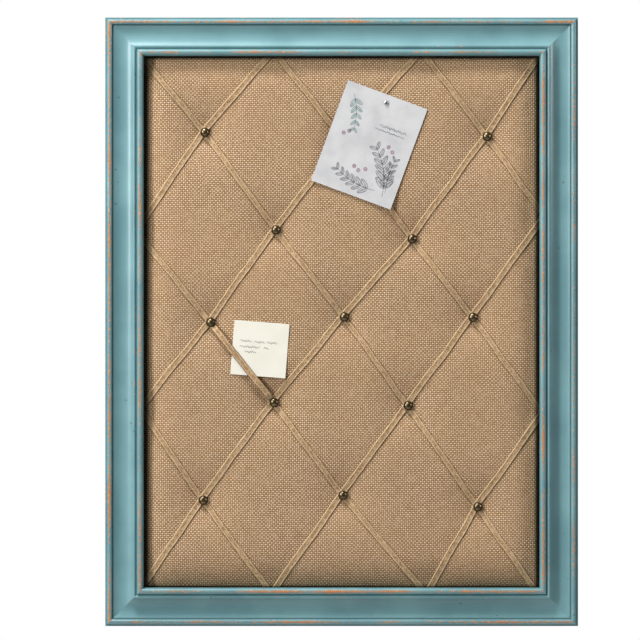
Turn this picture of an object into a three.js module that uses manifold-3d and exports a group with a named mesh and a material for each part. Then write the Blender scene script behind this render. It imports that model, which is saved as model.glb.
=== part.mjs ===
// French memo board: a mitred painted moulding round a padded panel covered in burlap.
// Ribbons cross the padding, and a dome-headed upholstery nail tufts every crossing.
// Millimetres. X runs across the board, Z up and Y into the wall, so the front faces -Y.
// The origin lies on the wall plane, midway between the two wall hooks.
import * as THREE from "three";
import { mergeVertices } from "three/addons/utils/BufferGeometryUtils.js";
import Module from "manifold-3d";

const wasm = await Module();
wasm.setup();

// Clearance between pieces that rest on each other
const GAP = 0.3;

// Frame: the sight is the opening that shows the panel
const SIGHT_WIDTH = 444.5;
const SIGHT_HEIGHT = 597;
const MOULDING_WIDTH = 43.3;
const REBATE_WIDTH = 6.35;
const REBATE_DEPTH = 13.5;

// Moulding section, from the outer edge in to the sight; tops are heights above the wall
const LEDGE_WIDTH = 1.8;
const LEDGE_TOP = 13;
const OUTER_BEAD_RADIUS = 3.1;
const OUTER_BEAD_SPRING = 14.6;
const OUTER_QUIRK_WIDTH = 1.4;
const OUTER_QUIRK_TOP = 13.2;
const COVE_RADIUS = 17;
const COVE_OUTER_TOP = 15.4;
const COVE_INNER_TOP = 18.8;
const SMALL_BEAD_RADIUS = 1.2;
const SMALL_BEAD_SPRING = 20.8;
const INNER_QUIRK_WIDTH = 1.2;
const INNER_QUIRK_TOP = 20;
const SIGHT_BEAD_RADIUS = 3.2;
const SIGHT_BEAD_SPRING = 21;
const SIGHT_FILLET = 0.8;
const ARC_STEPS = 10;

// Panel: board, padding, burlap and the hem that is turned over to the back
const BOARD_THICKNESS = 3.5;
const PAD_CROWN = 4.5;
const PAD_TUFT = 1.2;
const PAD_EDGE = 1.2;
const PAD_ROLL = 12;
const PAD_ROLL_SWELL = 0.7;
const PAD_SWELL_INSET = 4;
const PAD_CROWN_INSET = 24;
const BURLAP_THICKNESS = 0.9;
const HEM_WIDTH = 28;

// Nails stand on a lattice of alternating rows; columns and rows are counted from its centre.
// The outermost ribbons cross just past the board's edges, one step beyond the outermost nails.
const LATTICE_OVERRUN = 5.3;
const LATTICE_X = 1;
const LATTICE_Z = 4;
const LATTICE_REACH = 2;
const TUFT_RADIUS = 30;
const TUFT_SHOULDER = 17;
const TUFT_SHOULDER_SWELL = 0.6;
const TUFT_SEAT = 8;
const TUFT_SIDES = 10;

// How far each crossing was laid by hand from the even lattice: "column,row" to [x, z]
const HAND_LAID = new Map([
  ["-3,3", [-5, 0]],
  ["-1,3", [1, -7]],
  ["1,3", [13, -7]],
  ["-2,2", [-1, 4.5]],
  ["0,2", [2, -5]],
  ["2,2", [9, 0]],
  ["-3,1", [0, -5]],
  ["-1,1", [2, -3]],
  ["1,1", [1.5, -13]],
  ["3,1", [-2.5, 11]],
  ["-2,0", [5.5, -4.5]],
  ["0,0", [2, 1.5]],
  ["2,0", [-7, 1]],
  ["-3,-1", [4.5, 0]],
  ["-1,-1", [0, 7.5]],
  ["1,-1", [-3, 4]],
  ["3,-1", [-4.5, -5.5]],
  ["-2,-2", [-3, 0]],
  ["0,-2", [0.5, 5.5]],
  ["2,-2", [-1.5, -7.5]],
  ["-3,-3", [4, 0]],
  ["-1,-3", [-1.5, -4]],
  ["1,-3", [19, -4.4]],
  ["3,-3", [-12.5, 0]],
]);

// Ribbons and nails
const RIBBON_WIDTH = 7.2;
const RIBBON_THICKNESS = 0.7;
const RIBBON_TURN_OVER = 22;
const NAIL_HEAD_RADIUS = 5.5;
const NAIL_HEAD_HEIGHT = 4;
const NAIL_HEAD_WALL = 0.7;
const NAIL_SHANK_RADIUS = 0.9;
const NAIL_BITE = 3;
const NAIL_POINT = 1.6;
const NAIL_SIDES = 12;
const DOME_STEPS = 4;
const HOLE_SIDES = 6;

// Paper: a note tucked under a ribbon, and a card hung on a pin, each placed on the lattice of crossings
const NOTE_WIDTH = 62;
const NOTE_HEIGHT = 61;
const NOTE_THICKNESS = 0.3;
const NOTE_AT = { column: -1.2083, row: -0.3395 };
const NOTE_TILT = THREE.MathUtils.degToRad(4.5);
const CARD_WIDTH = 95;
const CARD_HEIGHT = 120;
const CARD_THICKNESS = 0.4;
const CARD_TILT = THREE.MathUtils.degToRad(20.3);
const PIN_AT = { column: 0.638, row: 2.3675 };
const PIN_BELOW_CARD_TOP = 9;
const PIN_OFF_CARD_CENTRE = 1.4;
const PIN_HEAD_RADIUS = 2.6;
const PIN_HEAD_HEIGHT = 1.8;
const PIN_NEEDLE_RADIUS = 0.5;

// V-nails: two angle-section wedges driven across each mitre from the back
const V_NAIL_LEG = 6;
const V_NAIL_THICKNESS = 0.8;
const V_NAIL_LENGTH = 9;
const V_NAIL_FROM_CORNER = { outer: 8, inner: 20 };

// Framer's points: flat tabs driven into the rebate wall behind the hem
const POINT_WIDTH = 9;
const POINT_REACH = 9;
const POINT_DRIVEN = 7;
const POINT_THICKNESS = 0.5;
const POINT_TIP = 1;
const POINT_UP = 190;
const POINT_ACROSS = 150;

// D-ring hangers on the backs of the stiles
const HANGER_BELOW_TOP = 161.8;
const STRAP_WIDTH = 14;
const STRAP_LENGTH = 44;
const STRAP_THICKNESS = 1;
const CURL_END = THREE.MathUtils.degToRad(-110);
const RING_WIRE_RADIUS = 1.2;
const RING_PLAY = 0.25;
const RING_HALF_WIDTH = 10;
const RING_CORNER_RADIUS = 2;
const RING_DEPTH = 14;
const RING_BUTT = 0.6;
const RING_POINTS = 48;
const RING_STEPS = 32;
const WIRE_SIDES = 8;
const SCREW_DROPS = { upper: 24, lower: 37 };
const SCREW_HEAD_RADIUS = 3.5;
const SCREW_HEAD_HEIGHT = 2.2;
const SCREW_RADIUS = 1.6;
const SCREW_LENGTH = 9;
const SCREW_POINT = 2.5;
const ROUND_SIDES = 12;

// Sizes that follow from the driving dimensions
const outerWidth = SIGHT_WIDTH + 2 * MOULDING_WIDTH;
const outerHeight = SIGHT_HEIGHT + 2 * MOULDING_WIDTH;
const ribbonLayer = RIBBON_THICKNESS + GAP;
const wrapDepth = GAP + BURLAP_THICKNESS + GAP + 2 * ribbonLayer;
const boardHalfWidth = SIGHT_WIDTH / 2 + REBATE_WIDTH - wrapDepth;
const boardHalfHeight = SIGHT_HEIGHT / 2 + REBATE_WIDTH - wrapDepth;
const columnPitch = (boardHalfWidth + LATTICE_OVERRUN) / (LATTICE_REACH + 1);
const rowPitch = (boardHalfHeight + LATTICE_OVERRUN) / (LATTICE_REACH + 1);
const boardFront = REBATE_DEPTH - wrapDepth - PAD_EDGE - GAP;
const boardBack = boardFront - BOARD_THICKNESS;
const padBase = boardFront + GAP;
const burlapTop = GAP + BURLAP_THICKNESS;
const hemFloor = boardBack - burlapTop;
const tuckGap = NOTE_THICKNESS + 2 * GAP;
const crownTop = padBase + PAD_CROWN + burlapTop;
const seatTop = padBase + PAD_TUFT + burlapTop + GAP + 2 * ribbonLayer;
const shankHole = NAIL_SHANK_RADIUS + GAP;
const needleHole = PIN_NEEDLE_RADIUS + GAP;
const nailTip = boardFront - NAIL_BITE;
const paperSeat = crownTop + GAP;
const ribbonTop = crownTop + tuckGap + ribbonLayer + RIBBON_THICKNESS;
const cardBack = Math.max(seatTop + NAIL_HEAD_HEIGHT, ribbonTop) + GAP;
const pinSeat = cardBack + CARD_THICKNESS + GAP;
const curlRadius = RING_WIRE_RADIUS + RING_PLAY + STRAP_THICKNESS;
const ringAxisBehind = GAP + curlRadius;
const hangerX = outerWidth / 2 - (MOULDING_WIDTH - REBATE_WIDTH) / 2;
const hangerHeight = outerHeight / 2 - HANGER_BELOW_TOP;
const hookLine = hangerHeight + RING_DEPTH;

// Materials
const painted = (color) => new THREE.MeshStandardMaterial({ color, roughness: 0.55, metalness: 0 });
const metal = (color, roughness) => new THREE.MeshStandardMaterial({ color, roughness, metalness: 1 });
const cloth = (color) => new THREE.MeshStandardMaterial({ color, roughness: 0.95, metalness: 0 });
const materials = {
  teal: painted("#7fa9ad"),
  hardboard: painted("#7a5c40"),
  padding: cloth("#e9e5da"),
  burlap: cloth("#b39571"),
  jute: cloth("#bd9c74"),
  bronze: metal("#6b5638", 0.35),
  steel: metal("#b9bcc0", 0.3),
  note: painted("#f1e6cf"),
  card: painted("#eceff0"),
};

// Turns a closed geometry into a solid for cutting and joining
function solidOf(geometry) {
  const bare = geometry.clone();
  bare.deleteAttribute("normal");
  bare.deleteAttribute("uv");
  const merged = mergeVertices(bare);
  const mesh = new wasm.Mesh({
    numProp: 3,
    vertProperties: merged.attributes.position.array,
    triVerts: new Uint32Array(merged.index.array),
  });
  return new wasm.Manifold(mesh);
}

// Turns a cut solid back into a geometry
function geometryOf(solid) {
  const mesh = solid.getMesh();
  const geometry = new THREE.BufferGeometry();
  geometry.setAttribute("position", new THREE.BufferAttribute(mesh.vertProperties, 3));
  geometry.setIndex(new THREE.BufferAttribute(mesh.triVerts, 1));
  geometry.computeVertexNormals();
  return geometry;
}

const cutAll = (solid, tools) => tools.reduce((rest, tool) => rest.subtract(tool), solid);

// A face-on outline in X and Z, made solid between two heights above the wall
function plate(shape, from, to) {
  const geometry = new THREE.ExtrudeGeometry(shape, {
    depth: to - from,
    bevelEnabled: false,
    curveSegments: ROUND_SIDES,
  });
  return geometry.rotateX(Math.PI / 2).translate(0, -from, 0);
}

const outline = (points) => new THREE.Shape(points.map(([x, z]) => new THREE.Vector2(x, z)));

const rectangle = (halfWidth, halfHeight) =>
  outline([
    [-halfWidth, -halfHeight],
    [halfWidth, -halfHeight],
    [halfWidth, halfHeight],
    [-halfWidth, halfHeight],
  ]);

// A turned piece whose axis stands off the wall; the profile holds [radius, height] pairs, lowest first
function turned(profile, sides) {
  const points = profile.map(([radius, height]) => new THREE.Vector2(radius, height));
  return new THREE.LatheGeometry(points, sides).rotateX(Math.PI);
}

// Quarter of an ellipse from a rim to the axis, as [radius, height] pairs
function dome(radius, base, height) {
  const points = [];
  for (let step = 0; step < DOME_STEPS; step++) {
    const angle = (step / DOME_STEPS) * (Math.PI / 2);
    points.push([radius * Math.cos(angle), base + height * Math.sin(angle)]);
  }
  return [...points, [0, base + height]];
}

// A round cutter standing off the wall at x and z
function drill(radius, from, to, x, z, sides = HOLE_SIDES) {
  const profile = [
    [0, from],
    [radius, from],
    [radius, to],
    [0, to],
  ];
  return solidOf(turned(profile, sides).translate(x, 0, z));
}

// Moulding section: x runs in from the outer edge and y up from the wall
function mouldingSection() {
  const sightBead = MOULDING_WIDTH - SIGHT_FILLET - SIGHT_BEAD_RADIUS;
  const innerQuirk = sightBead - SIGHT_BEAD_RADIUS;
  const smallBead = innerQuirk - INNER_QUIRK_WIDTH - SMALL_BEAD_RADIUS;
  const outerBead = LEDGE_WIDTH + OUTER_BEAD_RADIUS;
  const outerQuirk = outerBead + OUTER_BEAD_RADIUS;
  const coveOuter = new THREE.Vector2(outerQuirk + OUTER_QUIRK_WIDTH, COVE_OUTER_TOP);
  const coveInner = new THREE.Vector2(smallBead - SMALL_BEAD_RADIUS, COVE_INNER_TOP);
  const chord = coveInner.clone().sub(coveOuter);
  const rise = Math.sqrt(COVE_RADIUS ** 2 - chord.lengthSq() / 4);
  const upright = new THREE.Vector2(-chord.y, chord.x).normalize();
  const cove = coveOuter.clone().lerp(coveInner, 0.5).addScaledVector(upright, rise);
  const angleTo = (point) => Math.atan2(point.y - cove.y, point.x - cove.x);

  const section = new THREE.Shape();
  section.moveTo(0, 0);
  section.lineTo(MOULDING_WIDTH - REBATE_WIDTH, 0);
  section.lineTo(MOULDING_WIDTH - REBATE_WIDTH, REBATE_DEPTH);
  section.lineTo(MOULDING_WIDTH, REBATE_DEPTH);
  section.lineTo(MOULDING_WIDTH, SIGHT_BEAD_SPRING - SIGHT_FILLET);
  section.absarc(sightBead, SIGHT_BEAD_SPRING, SIGHT_BEAD_RADIUS, 0, Math.PI, false);
  section.lineTo(innerQuirk, INNER_QUIRK_TOP);
  section.lineTo(innerQuirk - INNER_QUIRK_WIDTH, INNER_QUIRK_TOP);
  section.absarc(smallBead, SMALL_BEAD_SPRING, SMALL_BEAD_RADIUS, 0, Math.PI, false);
  section.absarc(cove.x, cove.y, COVE_RADIUS, angleTo(coveInner), angleTo(coveOuter), true);
  section.lineTo(coveOuter.x, OUTER_QUIRK_TOP);
  section.lineTo(outerQuirk, OUTER_QUIRK_TOP);
  section.absarc(outerBead, OUTER_BEAD_SPRING, OUTER_BEAD_RADIUS, 0, Math.PI, false);
  section.lineTo(LEDGE_WIDTH, LEDGE_TOP);
  section.lineTo(0, LEDGE_TOP);
  return section;
}

// One member of the frame, mitred at both ends and turned about Y from the top to its own side
function frameMember(length, halfAcross, turn) {
  const geometry = new THREE.ExtrudeGeometry(mouldingSection(), {
    depth: length,
    bevelEnabled: false,
    curveSegments: ARC_STEPS,
  });
  const glueLine = GAP * Math.SQRT1_2;
  const place = geometry.attributes.position;
  for (let i = 0; i < place.count; i++) {
    const fromEdge = place.getX(i);
    const mitre = fromEdge + glueLine;
    const along = place.getZ(i) > length / 2 ? length - mitre : mitre;
    place.setXYZ(i, length / 2 - along, -place.getY(i), halfAcross - fromEdge);
  }
  return geometry.rotateY(turn);
}

// V-nail at a corner, a leg in each member; grow widens it into the slot that it is driven into
function vNail(signX, signZ, fromCorner, grow) {
  const leg = V_NAIL_LEG + grow;
  const inside = V_NAIL_THICKNESS + grow;
  const angle = outline([
    [grow, grow],
    [-leg, grow],
    [-leg, -inside],
    [-inside, -inside],
    [-inside, -leg],
    [grow, -leg],
  ]);
  const geometry = plate(angle, GAP - 2 * grow, GAP + V_NAIL_LENGTH + grow);
  geometry.rotateY(Math.atan2(signX, signZ) - Math.PI / 4);
  const x = signX * (outerWidth / 2 - fromCorner);
  const z = signZ * (outerHeight / 2 - fromCorner);
  return geometry.translate(x, 0, z);
}

// Framer's point on one side of the rebate; grow widens it into its slot
function framersPoint(turn, wallDistance, along, grow) {
  const half = POINT_WIDTH / 2 + grow;
  const tip = POINT_TIP / 2 + grow;
  const tab = outline([
    [-half, -POINT_REACH],
    [half, -POINT_REACH],
    [half, GAP],
    [tip, POINT_DRIVEN + grow],
    [-tip, POINT_DRIVEN + grow],
    [-half, GAP],
  ]);
  const front = hemFloor - GAP;
  const geometry = plate(tab, front - POINT_THICKNESS - grow, front + grow);
  return geometry.translate(along, 0, wallDistance).rotateY(turn);
}

// Hanger screw with its head on the strap; grow widens it into its pilot hole
function hangerScrew(x, z, grow) {
  const seat = -(GAP + STRAP_THICKNESS + GAP);
  const shank = SCREW_RADIUS + grow;
  const profile = [
    ...dome(SCREW_HEAD_RADIUS, seat, -SCREW_HEAD_HEIGHT).reverse(),
    [shank, seat],
    [shank, SCREW_LENGTH - SCREW_POINT],
    [0, SCREW_LENGTH + grow],
  ];
  return turned(profile, ROUND_SIDES).translate(x, 0, z);
}

// Lattice of crossings
const columns = [];
for (let column = -LATTICE_REACH; column <= LATTICE_REACH; column++) columns.push(column);
const isCrossing = (column, row) => (column + row) % 2 === 0;

const onLattice = ({ column, row }) => [LATTICE_X + column * columnPitch, LATTICE_Z + row * rowPitch];

function crossing(column, row) {
  const [x, z] = onLattice({ column, row });
  const [driftX, driftZ] = HAND_LAID.get(`${column},${row}`) ?? [0, 0];
  return [x + driftX, z + driftZ];
}

const nails = [];
for (const row of columns.toReversed()) {
  const inRow = columns.filter((column) => isCrossing(column, row));
  const sides = inRow.length === 3 ? ["left", "middle", "right"] : ["left", "right"];
  inRow.forEach((column, i) => {
    const [x, z] = crossing(column, row);
    nails.push({ name: `nail_row${LATTICE_REACH + 1 - row}_${sides[i]}`, column, row, x, z });
  });
}

// Heights of a layer over the pad's base: where nails seat, round them, on the crowns and at the rim
const mix = THREE.MathUtils.lerp;
const paddingHeights = {
  seat: PAD_TUFT,
  shoulder: mix(PAD_TUFT, PAD_CROWN, TUFT_SHOULDER_SWELL),
  crown: PAD_CROWN,
  roll: PAD_CROWN,
  swell: mix(PAD_EDGE, PAD_CROWN, PAD_ROLL_SWELL),
  lip: PAD_EDGE,
};
const lifted = (heights, lift) =>
  Object.fromEntries(Object.entries(heights).map(([place, height]) => [place, height + lift(place)]));

// A falling ribbon lies close at nails and rim, and leaves room for paper over the crowns
const fallingHeights = lifted(paddingHeights, (place) => {
  const close = place === "seat" || place === "lip";
  return burlapTop + (close ? GAP : tuckGap);
});

// A rising ribbon climbs over the falling ones at the nails and along the rim
const risingHeights = lifted(fallingHeights, (place) => (place === "crown" ? 0 : ribbonLayer));

// Closed solid through rectangles that each have half sizes and a height above the wall
function rectangleLoft(levels) {
  const corners = [
    [-1, -1],
    [1, -1],
    [1, 1],
    [-1, 1],
  ];
  const places = levels.flatMap(({ halfWidth, halfHeight, height }) =>
    corners.flatMap(([x, z]) => [x * halfWidth, -height, z * halfHeight]),
  );
  const triangles = [2, 1, 0, 3, 2, 0];
  for (let level = 0; level < levels.length - 1; level++) {
    for (let corner = 0; corner < corners.length; corner++) {
      const a = level * corners.length + corner;
      const b = level * corners.length + ((corner + 1) % corners.length);
      const above = corners.length;
      triangles.push(a, b, b + above, a, b + above, a + above);
    }
  }
  const top = (levels.length - 1) * corners.length;
  triangles.push(top, top + 1, top + 2, top, top + 2, top + 3);
  const geometry = new THREE.BufferGeometry();
  geometry.setAttribute("position", new THREE.Float32BufferAttribute(places, 3));
  geometry.setIndex(triangles);
  return solidOf(geometry);
}

// Block from a floor up to a layer of the panel's front: a crown with a rolled rim, dished at each nail
function coveredBlock(heights, spread, floor) {
  const level = (inset, height) => ({
    halfWidth: SIGHT_WIDTH / 2 - inset,
    halfHeight: SIGHT_HEIGHT / 2 - inset,
    height,
  });
  const edge = wrapDepth - REBATE_WIDTH - spread;
  const lip = 2 * GAP;
  const block = rectangleLoft([
    level(edge, floor),
    level(edge, padBase + heights.lip),
    level(lip, padBase + heights.lip),
    level(lip + PAD_SWELL_INSET, padBase + heights.swell),
    level(lip + PAD_ROLL, padBase + heights.roll),
    level(lip + PAD_CROWN_INSET, padBase + heights.crown),
  ]);
  const run = (heights.crown - heights.shoulder) / (TUFT_RADIUS - TUFT_SHOULDER);
  const clear = padBase + heights.crown + ribbonLayer;
  const dish = [
    [0, padBase + heights.seat],
    [TUFT_SEAT, padBase + heights.seat],
    [TUFT_SHOULDER, padBase + heights.shoulder],
    [TUFT_RADIUS + ribbonLayer / run, clear],
    [0, clear],
  ];
  const dishes = nails.map(({ x, z }) => solidOf(turned(dish, TUFT_SIDES).translate(x, 0, z)));
  return cutAll(block, dishes);
}

// Outline of a strip of even width along a line of points
function stripOutline(points, width) {
  const left = [];
  const right = [];
  points.forEach((point, i) => {
    const before = points[Math.max(i - 1, 0)];
    const after = points[Math.min(i + 1, points.length - 1)];
    const along = new THREE.Vector2(after[0] - before[0], after[1] - before[1]).normalize();
    left.push([point[0] - (along.y * width) / 2, point[1] + (along.x * width) / 2]);
    right.push([point[0] + (along.y * width) / 2, point[1] - (along.x * width) / 2]);
  });
  return outline([...right, ...left.reverse()]);
}

// The crossings that a ribbon passes, with each end run out past the panel's edge
function ribbonRoute(family, line) {
  const route = [];
  const reach = LATTICE_REACH + 1;
  for (let column = -reach; column <= reach; column++) {
    const row = family === "falling" ? line - column : column - line;
    if (Math.abs(row) <= reach) route.push(crossing(column, row));
  }
  const runOut = (end, inner) => {
    const along = new THREE.Vector2(end[0] - inner[0], end[1] - inner[1]).setLength(MOULDING_WIDTH);
    return [end[0] + along.x, end[1] + along.y];
  };
  route.unshift(runOut(route[0], route[1]));
  route.push(runOut(route.at(-1), route.at(-2)));
  return route;
}

// The end of a ribbon on the panel's back: it carries on as if the panel's edge were a fold line
function turnedEnd(outer, inner, spread, floor) {
  const edgeX = boardHalfWidth + spread;
  const edgeZ = boardHalfHeight + spread;
  const run = [outer[0] - inner[0], outer[1] - inner[1]];
  const halfPly = RIBBON_THICKNESS / 2;
  const toSide = (Math.sign(run[0]) * (edgeX - halfPly) - inner[0]) / run[0];
  const toEnd = (Math.sign(run[1]) * (edgeZ - halfPly) - inner[1]) / run[1];
  const share = Math.min(toSide, toEnd);
  const fold = [inner[0] + run[0] * share, inner[1] + run[1] * share];
  const back = new THREE.Vector2(run[0], run[1]).setLength(RIBBON_TURN_OVER);
  if (toSide < toEnd) back.x = -back.x;
  else back.y = -back.y;
  const strip = stripOutline(
    [
      [fold[0] - back.x, fold[1] - back.y],
      [fold[0] + back.x, fold[1] + back.y],
    ],
    RIBBON_WIDTH,
  );
  const panel = solidOf(plate(rectangle(edgeX, edgeZ), floor, floor + RIBBON_THICKNESS));
  return solidOf(plate(strip, 0, boardFront)).intersect(panel);
}

const throughAll = { from: -REBATE_DEPTH, to: 2 * REBATE_DEPTH };
const shankCutters = nails.map((nail) => drill(shankHole, nailTip - GAP, throughAll.to, nail.x, nail.z));
const [pinX, pinZ] = onLattice(PIN_AT);
const needleCutter = drill(needleHole, nailTip - GAP, throughAll.to, pinX, pinZ);

// A ribbon cut from a sheet that lies over the burlap and down the panel's edges
function ribbon(sheet, family, line, spread, floor) {
  const route = ribbonRoute(family, line);
  const strip = solidOf(plate(stripOutline(route, RIBBON_WIDTH), throughAll.from, throughAll.to));
  const ends = [
    turnedEnd(route[0], route[2], spread, floor),
    turnedEnd(route.at(-1), route.at(-3), spread, floor),
  ];
  const whole = sheet.intersect(strip).add(ends[0]).add(ends[1]);
  const onLine = (nail) => (family === "falling" ? nail.column + nail.row : nail.column - nail.row);
  return cutAll(whole, shankCutters.filter((cutter, i) => onLine(nails[i]) === line));
}

// Upholstery nail: a hollow dome on a pointed shank
function nailGeometry() {
  const hollow = NAIL_HEAD_HEIGHT - NAIL_HEAD_WALL;
  const underside = dome(NAIL_HEAD_RADIUS - NAIL_HEAD_WALL, seatTop, hollow);
  const profile = [
    [0, nailTip],
    [NAIL_SHANK_RADIUS, nailTip + NAIL_POINT],
    [NAIL_SHANK_RADIUS, seatTop + hollow],
    ...underside.slice(0, DOME_STEPS - 1).reverse(),
    ...dome(NAIL_HEAD_RADIUS, seatTop, NAIL_HEAD_HEIGHT),
  ];
  return turned(profile, NAIL_SIDES);
}

function pinGeometry() {
  const profile = [
    [0, nailTip],
    [PIN_NEEDLE_RADIUS, nailTip + NAIL_POINT],
    [PIN_NEEDLE_RADIUS, pinSeat],
    ...dome(PIN_HEAD_RADIUS, pinSeat, PIN_HEAD_HEIGHT),
  ];
  return turned(profile, ROUND_SIDES).translate(pinX, 0, pinZ);
}

// D-ring: a wire bent round, hanging down, with its butt joint inside the strap's curl
function ringGeometry(x) {
  const arcCentre = RING_HALF_WIDTH - RING_DEPTH;
  const bend = new THREE.Path();
  const corner = RING_HALF_WIDTH - RING_CORNER_RADIUS;
  bend.moveTo(RING_BUTT / 2, 0);
  bend.lineTo(corner, 0);
  bend.absarc(corner, -RING_CORNER_RADIUS, RING_CORNER_RADIUS, Math.PI / 2, 0, true);
  bend.absarc(0, arcCentre, RING_HALF_WIDTH, 0, -Math.PI, true);
  bend.absarc(-corner, -RING_CORNER_RADIUS, RING_CORNER_RADIUS, Math.PI, Math.PI / 2, true);
  bend.lineTo(-RING_BUTT / 2, 0);
  const bends = bend.getSpacedPoints(RING_POINTS);
  const route = bends.map((point) => new THREE.Vector3(point.x, 0, point.y));
  const wire = new THREE.Shape().absarc(0, 0, RING_WIRE_RADIUS, 0, 2 * Math.PI);
  const geometry = new THREE.ExtrudeGeometry(wire, {
    steps: RING_STEPS,
    curveSegments: WIRE_SIDES / 2,
    extrudePath: new THREE.CatmullRomCurve3(route),
  });
  return geometry.translate(x, ringAxisBehind, hangerHeight);
}

// Hanger strap: a flat strip curled round the ring's bar, screwed to the back of the stile
function strapGeometry(x) {
  const inner = curlRadius - STRAP_THICKNESS;
  const side = new THREE.Shape();
  side.moveTo(GAP + STRAP_THICKNESS, -STRAP_LENGTH);
  side.lineTo(GAP + STRAP_THICKNESS, 0);
  side.absarc(ringAxisBehind, 0, inner, Math.PI, CURL_END, true);
  side.absarc(ringAxisBehind, 0, curlRadius, CURL_END, Math.PI, false);
  side.lineTo(GAP, -STRAP_LENGTH);
  const strip = new THREE.ExtrudeGeometry(side, {
    depth: STRAP_WIDTH,
    bevelEnabled: false,
    curveSegments: ROUND_SIDES,
  });
  // The side view's x and y become Y and Z, and its depth runs along X
  const sideOn = new THREE.Matrix4().makeBasis(
    new THREE.Vector3(0, 1, 0),
    new THREE.Vector3(0, 0, 1),
    new THREE.Vector3(1, 0, 0),
  );
  strip.applyMatrix4(sideOn).translate(x - STRAP_WIDTH / 2, 0, hangerHeight);
  const holes = Object.values(SCREW_DROPS).map((drop) =>
    drill(SCREW_RADIUS + GAP, throughAll.from, throughAll.to, x, hangerHeight - drop, ROUND_SIDES),
  );
  return geometryOf(cutAll(solidOf(strip), holes));
}

const board = new THREE.Group();
function addPiece(name, geometry, material) {
  const mesh = new THREE.Mesh(geometry, material);
  mesh.name = name;
  board.add(mesh);
  return mesh;
}

// Fasteners that are driven into the frame, and the slots and holes that they leave in it
const frameCutters = [];
for (const [vertical, signZ] of [
  ["top", 1],
  ["bottom", -1],
]) {
  for (const [side, signX] of [
    ["left", -1],
    ["right", 1],
  ]) {
    for (const [place, fromCorner] of Object.entries(V_NAIL_FROM_CORNER)) {
      const name = `v_nail_${vertical}_${side}_${place}`;
      addPiece(name, vNail(signX, signZ, fromCorner, 0), materials.steel);
      frameCutters.push(solidOf(vNail(signX, signZ, fromCorner, GAP)));
    }
  }
}

const rebateX = SIGHT_WIDTH / 2 + REBATE_WIDTH;
const rebateZ = SIGHT_HEIGHT / 2 + REBATE_WIDTH;
const frameSides = [
  { name: "top_rail", turn: 0, length: outerWidth, half: outerHeight / 2 },
  { name: "right_stile", turn: Math.PI / 2, length: outerHeight, half: outerWidth / 2 },
  { name: "bottom_rail", turn: Math.PI, length: outerWidth, half: outerHeight / 2 },
  { name: "left_stile", turn: -Math.PI / 2, length: outerHeight, half: outerWidth / 2 },
];
for (const { name, turn } of frameSides) {
  const upright = name.endsWith("stile");
  const wall = upright ? rebateX : rebateZ;
  const along = upright ? POINT_UP : POINT_ACROSS;
  for (const [order, place] of [
    ["first", -along],
    ["second", along],
  ]) {
    const side = name.split("_")[0];
    addPiece(`framers_point_${side}_${order}`, framersPoint(turn, wall, place, 0), materials.steel);
    frameCutters.push(solidOf(framersPoint(turn, wall, place, GAP)));
  }
}

for (const [side, signX] of [
  ["left", -1],
  ["right", 1],
]) {
  const x = signX * hangerX;
  addPiece(`hanger_strap_${side}`, strapGeometry(x), materials.steel);
  addPiece(`hanger_ring_${side}`, ringGeometry(x), materials.steel);
  for (const [place, drop] of Object.entries(SCREW_DROPS)) {
    const z = hangerHeight - drop;
    addPiece(`hanger_screw_${side}_${place}`, hangerScrew(x, z, 0), materials.steel);
    frameCutters.push(solidOf(hangerScrew(x, z, GAP)));
  }
}

for (const { name, turn, length, half } of frameSides) {
  const member = solidOf(frameMember(length, half, turn));
  addPiece(name, geometryOf(cutAll(member, frameCutters)), materials.teal);
}

// Panel, padding and burlap
const panelBoard = solidOf(plate(rectangle(boardHalfWidth, boardHalfHeight), boardBack, boardFront));
const pinAndNails = [...shankCutters, needleCutter];
addPiece("panel_board", geometryOf(cutAll(panelBoard, pinAndNails)), materials.hardboard);

const padding = coveredBlock(paddingHeights, 0, padBase);
addPiece("panel_padding", geometryOf(cutAll(padding, pinAndNails)), materials.padding);

const hemWindow = rectangle(boardHalfWidth - HEM_WIDTH, boardHalfHeight - HEM_WIDTH);
const burlapHeights = lifted(paddingHeights, () => burlapTop);
const burlapLining = lifted(paddingHeights, () => GAP);
const burlap = coveredBlock(burlapHeights, burlapTop, hemFloor)
  .subtract(coveredBlock(burlapLining, GAP, boardBack - GAP))
  .subtract(solidOf(plate(hemWindow, 0, boardFront)));
addPiece("burlap_cover", geometryOf(cutAll(burlap, pinAndNails)), materials.burlap);

// Ribbons: the falling family lies under the rising one
const ribbonLines = [-4, -2, 0, 2, 4];
const families = [
  { family: "falling", heights: fallingHeights, layer: 0 },
  { family: "rising", heights: risingHeights, layer: 1 },
];
for (const { family, heights, layer } of families) {
  const inner = burlapTop + GAP + layer * ribbonLayer;
  const outer = inner + RIBBON_THICKNESS;
  const floor = hemFloor - GAP - RIBBON_THICKNESS - layer * ribbonLayer;
  const face = lifted(heights, () => RIBBON_THICKNESS);
  const sheet = coveredBlock(face, outer, floor).subtract(coveredBlock(heights, inner, floor - GAP));
  ribbonLines.forEach((line, i) => {
    const piece = ribbon(sheet, family, line, outer, floor);
    addPiece(`ribbon_${family}_${i + 1}`, geometryOf(piece), materials.jute);
  });
}

for (const { name, x, z } of nails) {
  addPiece(name, nailGeometry(), materials.bronze).position.set(x, 0, z);
}

// Paper
const noteShape = rectangle(NOTE_WIDTH / 2, NOTE_HEIGHT / 2);
const note = addPiece("memo_note", plate(noteShape, paperSeat, paperSeat + NOTE_THICKNESS), materials.note);
const [noteX, noteZ] = onLattice(NOTE_AT);
note.position.set(noteX, 0, noteZ);
note.rotation.y = NOTE_TILT;

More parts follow.
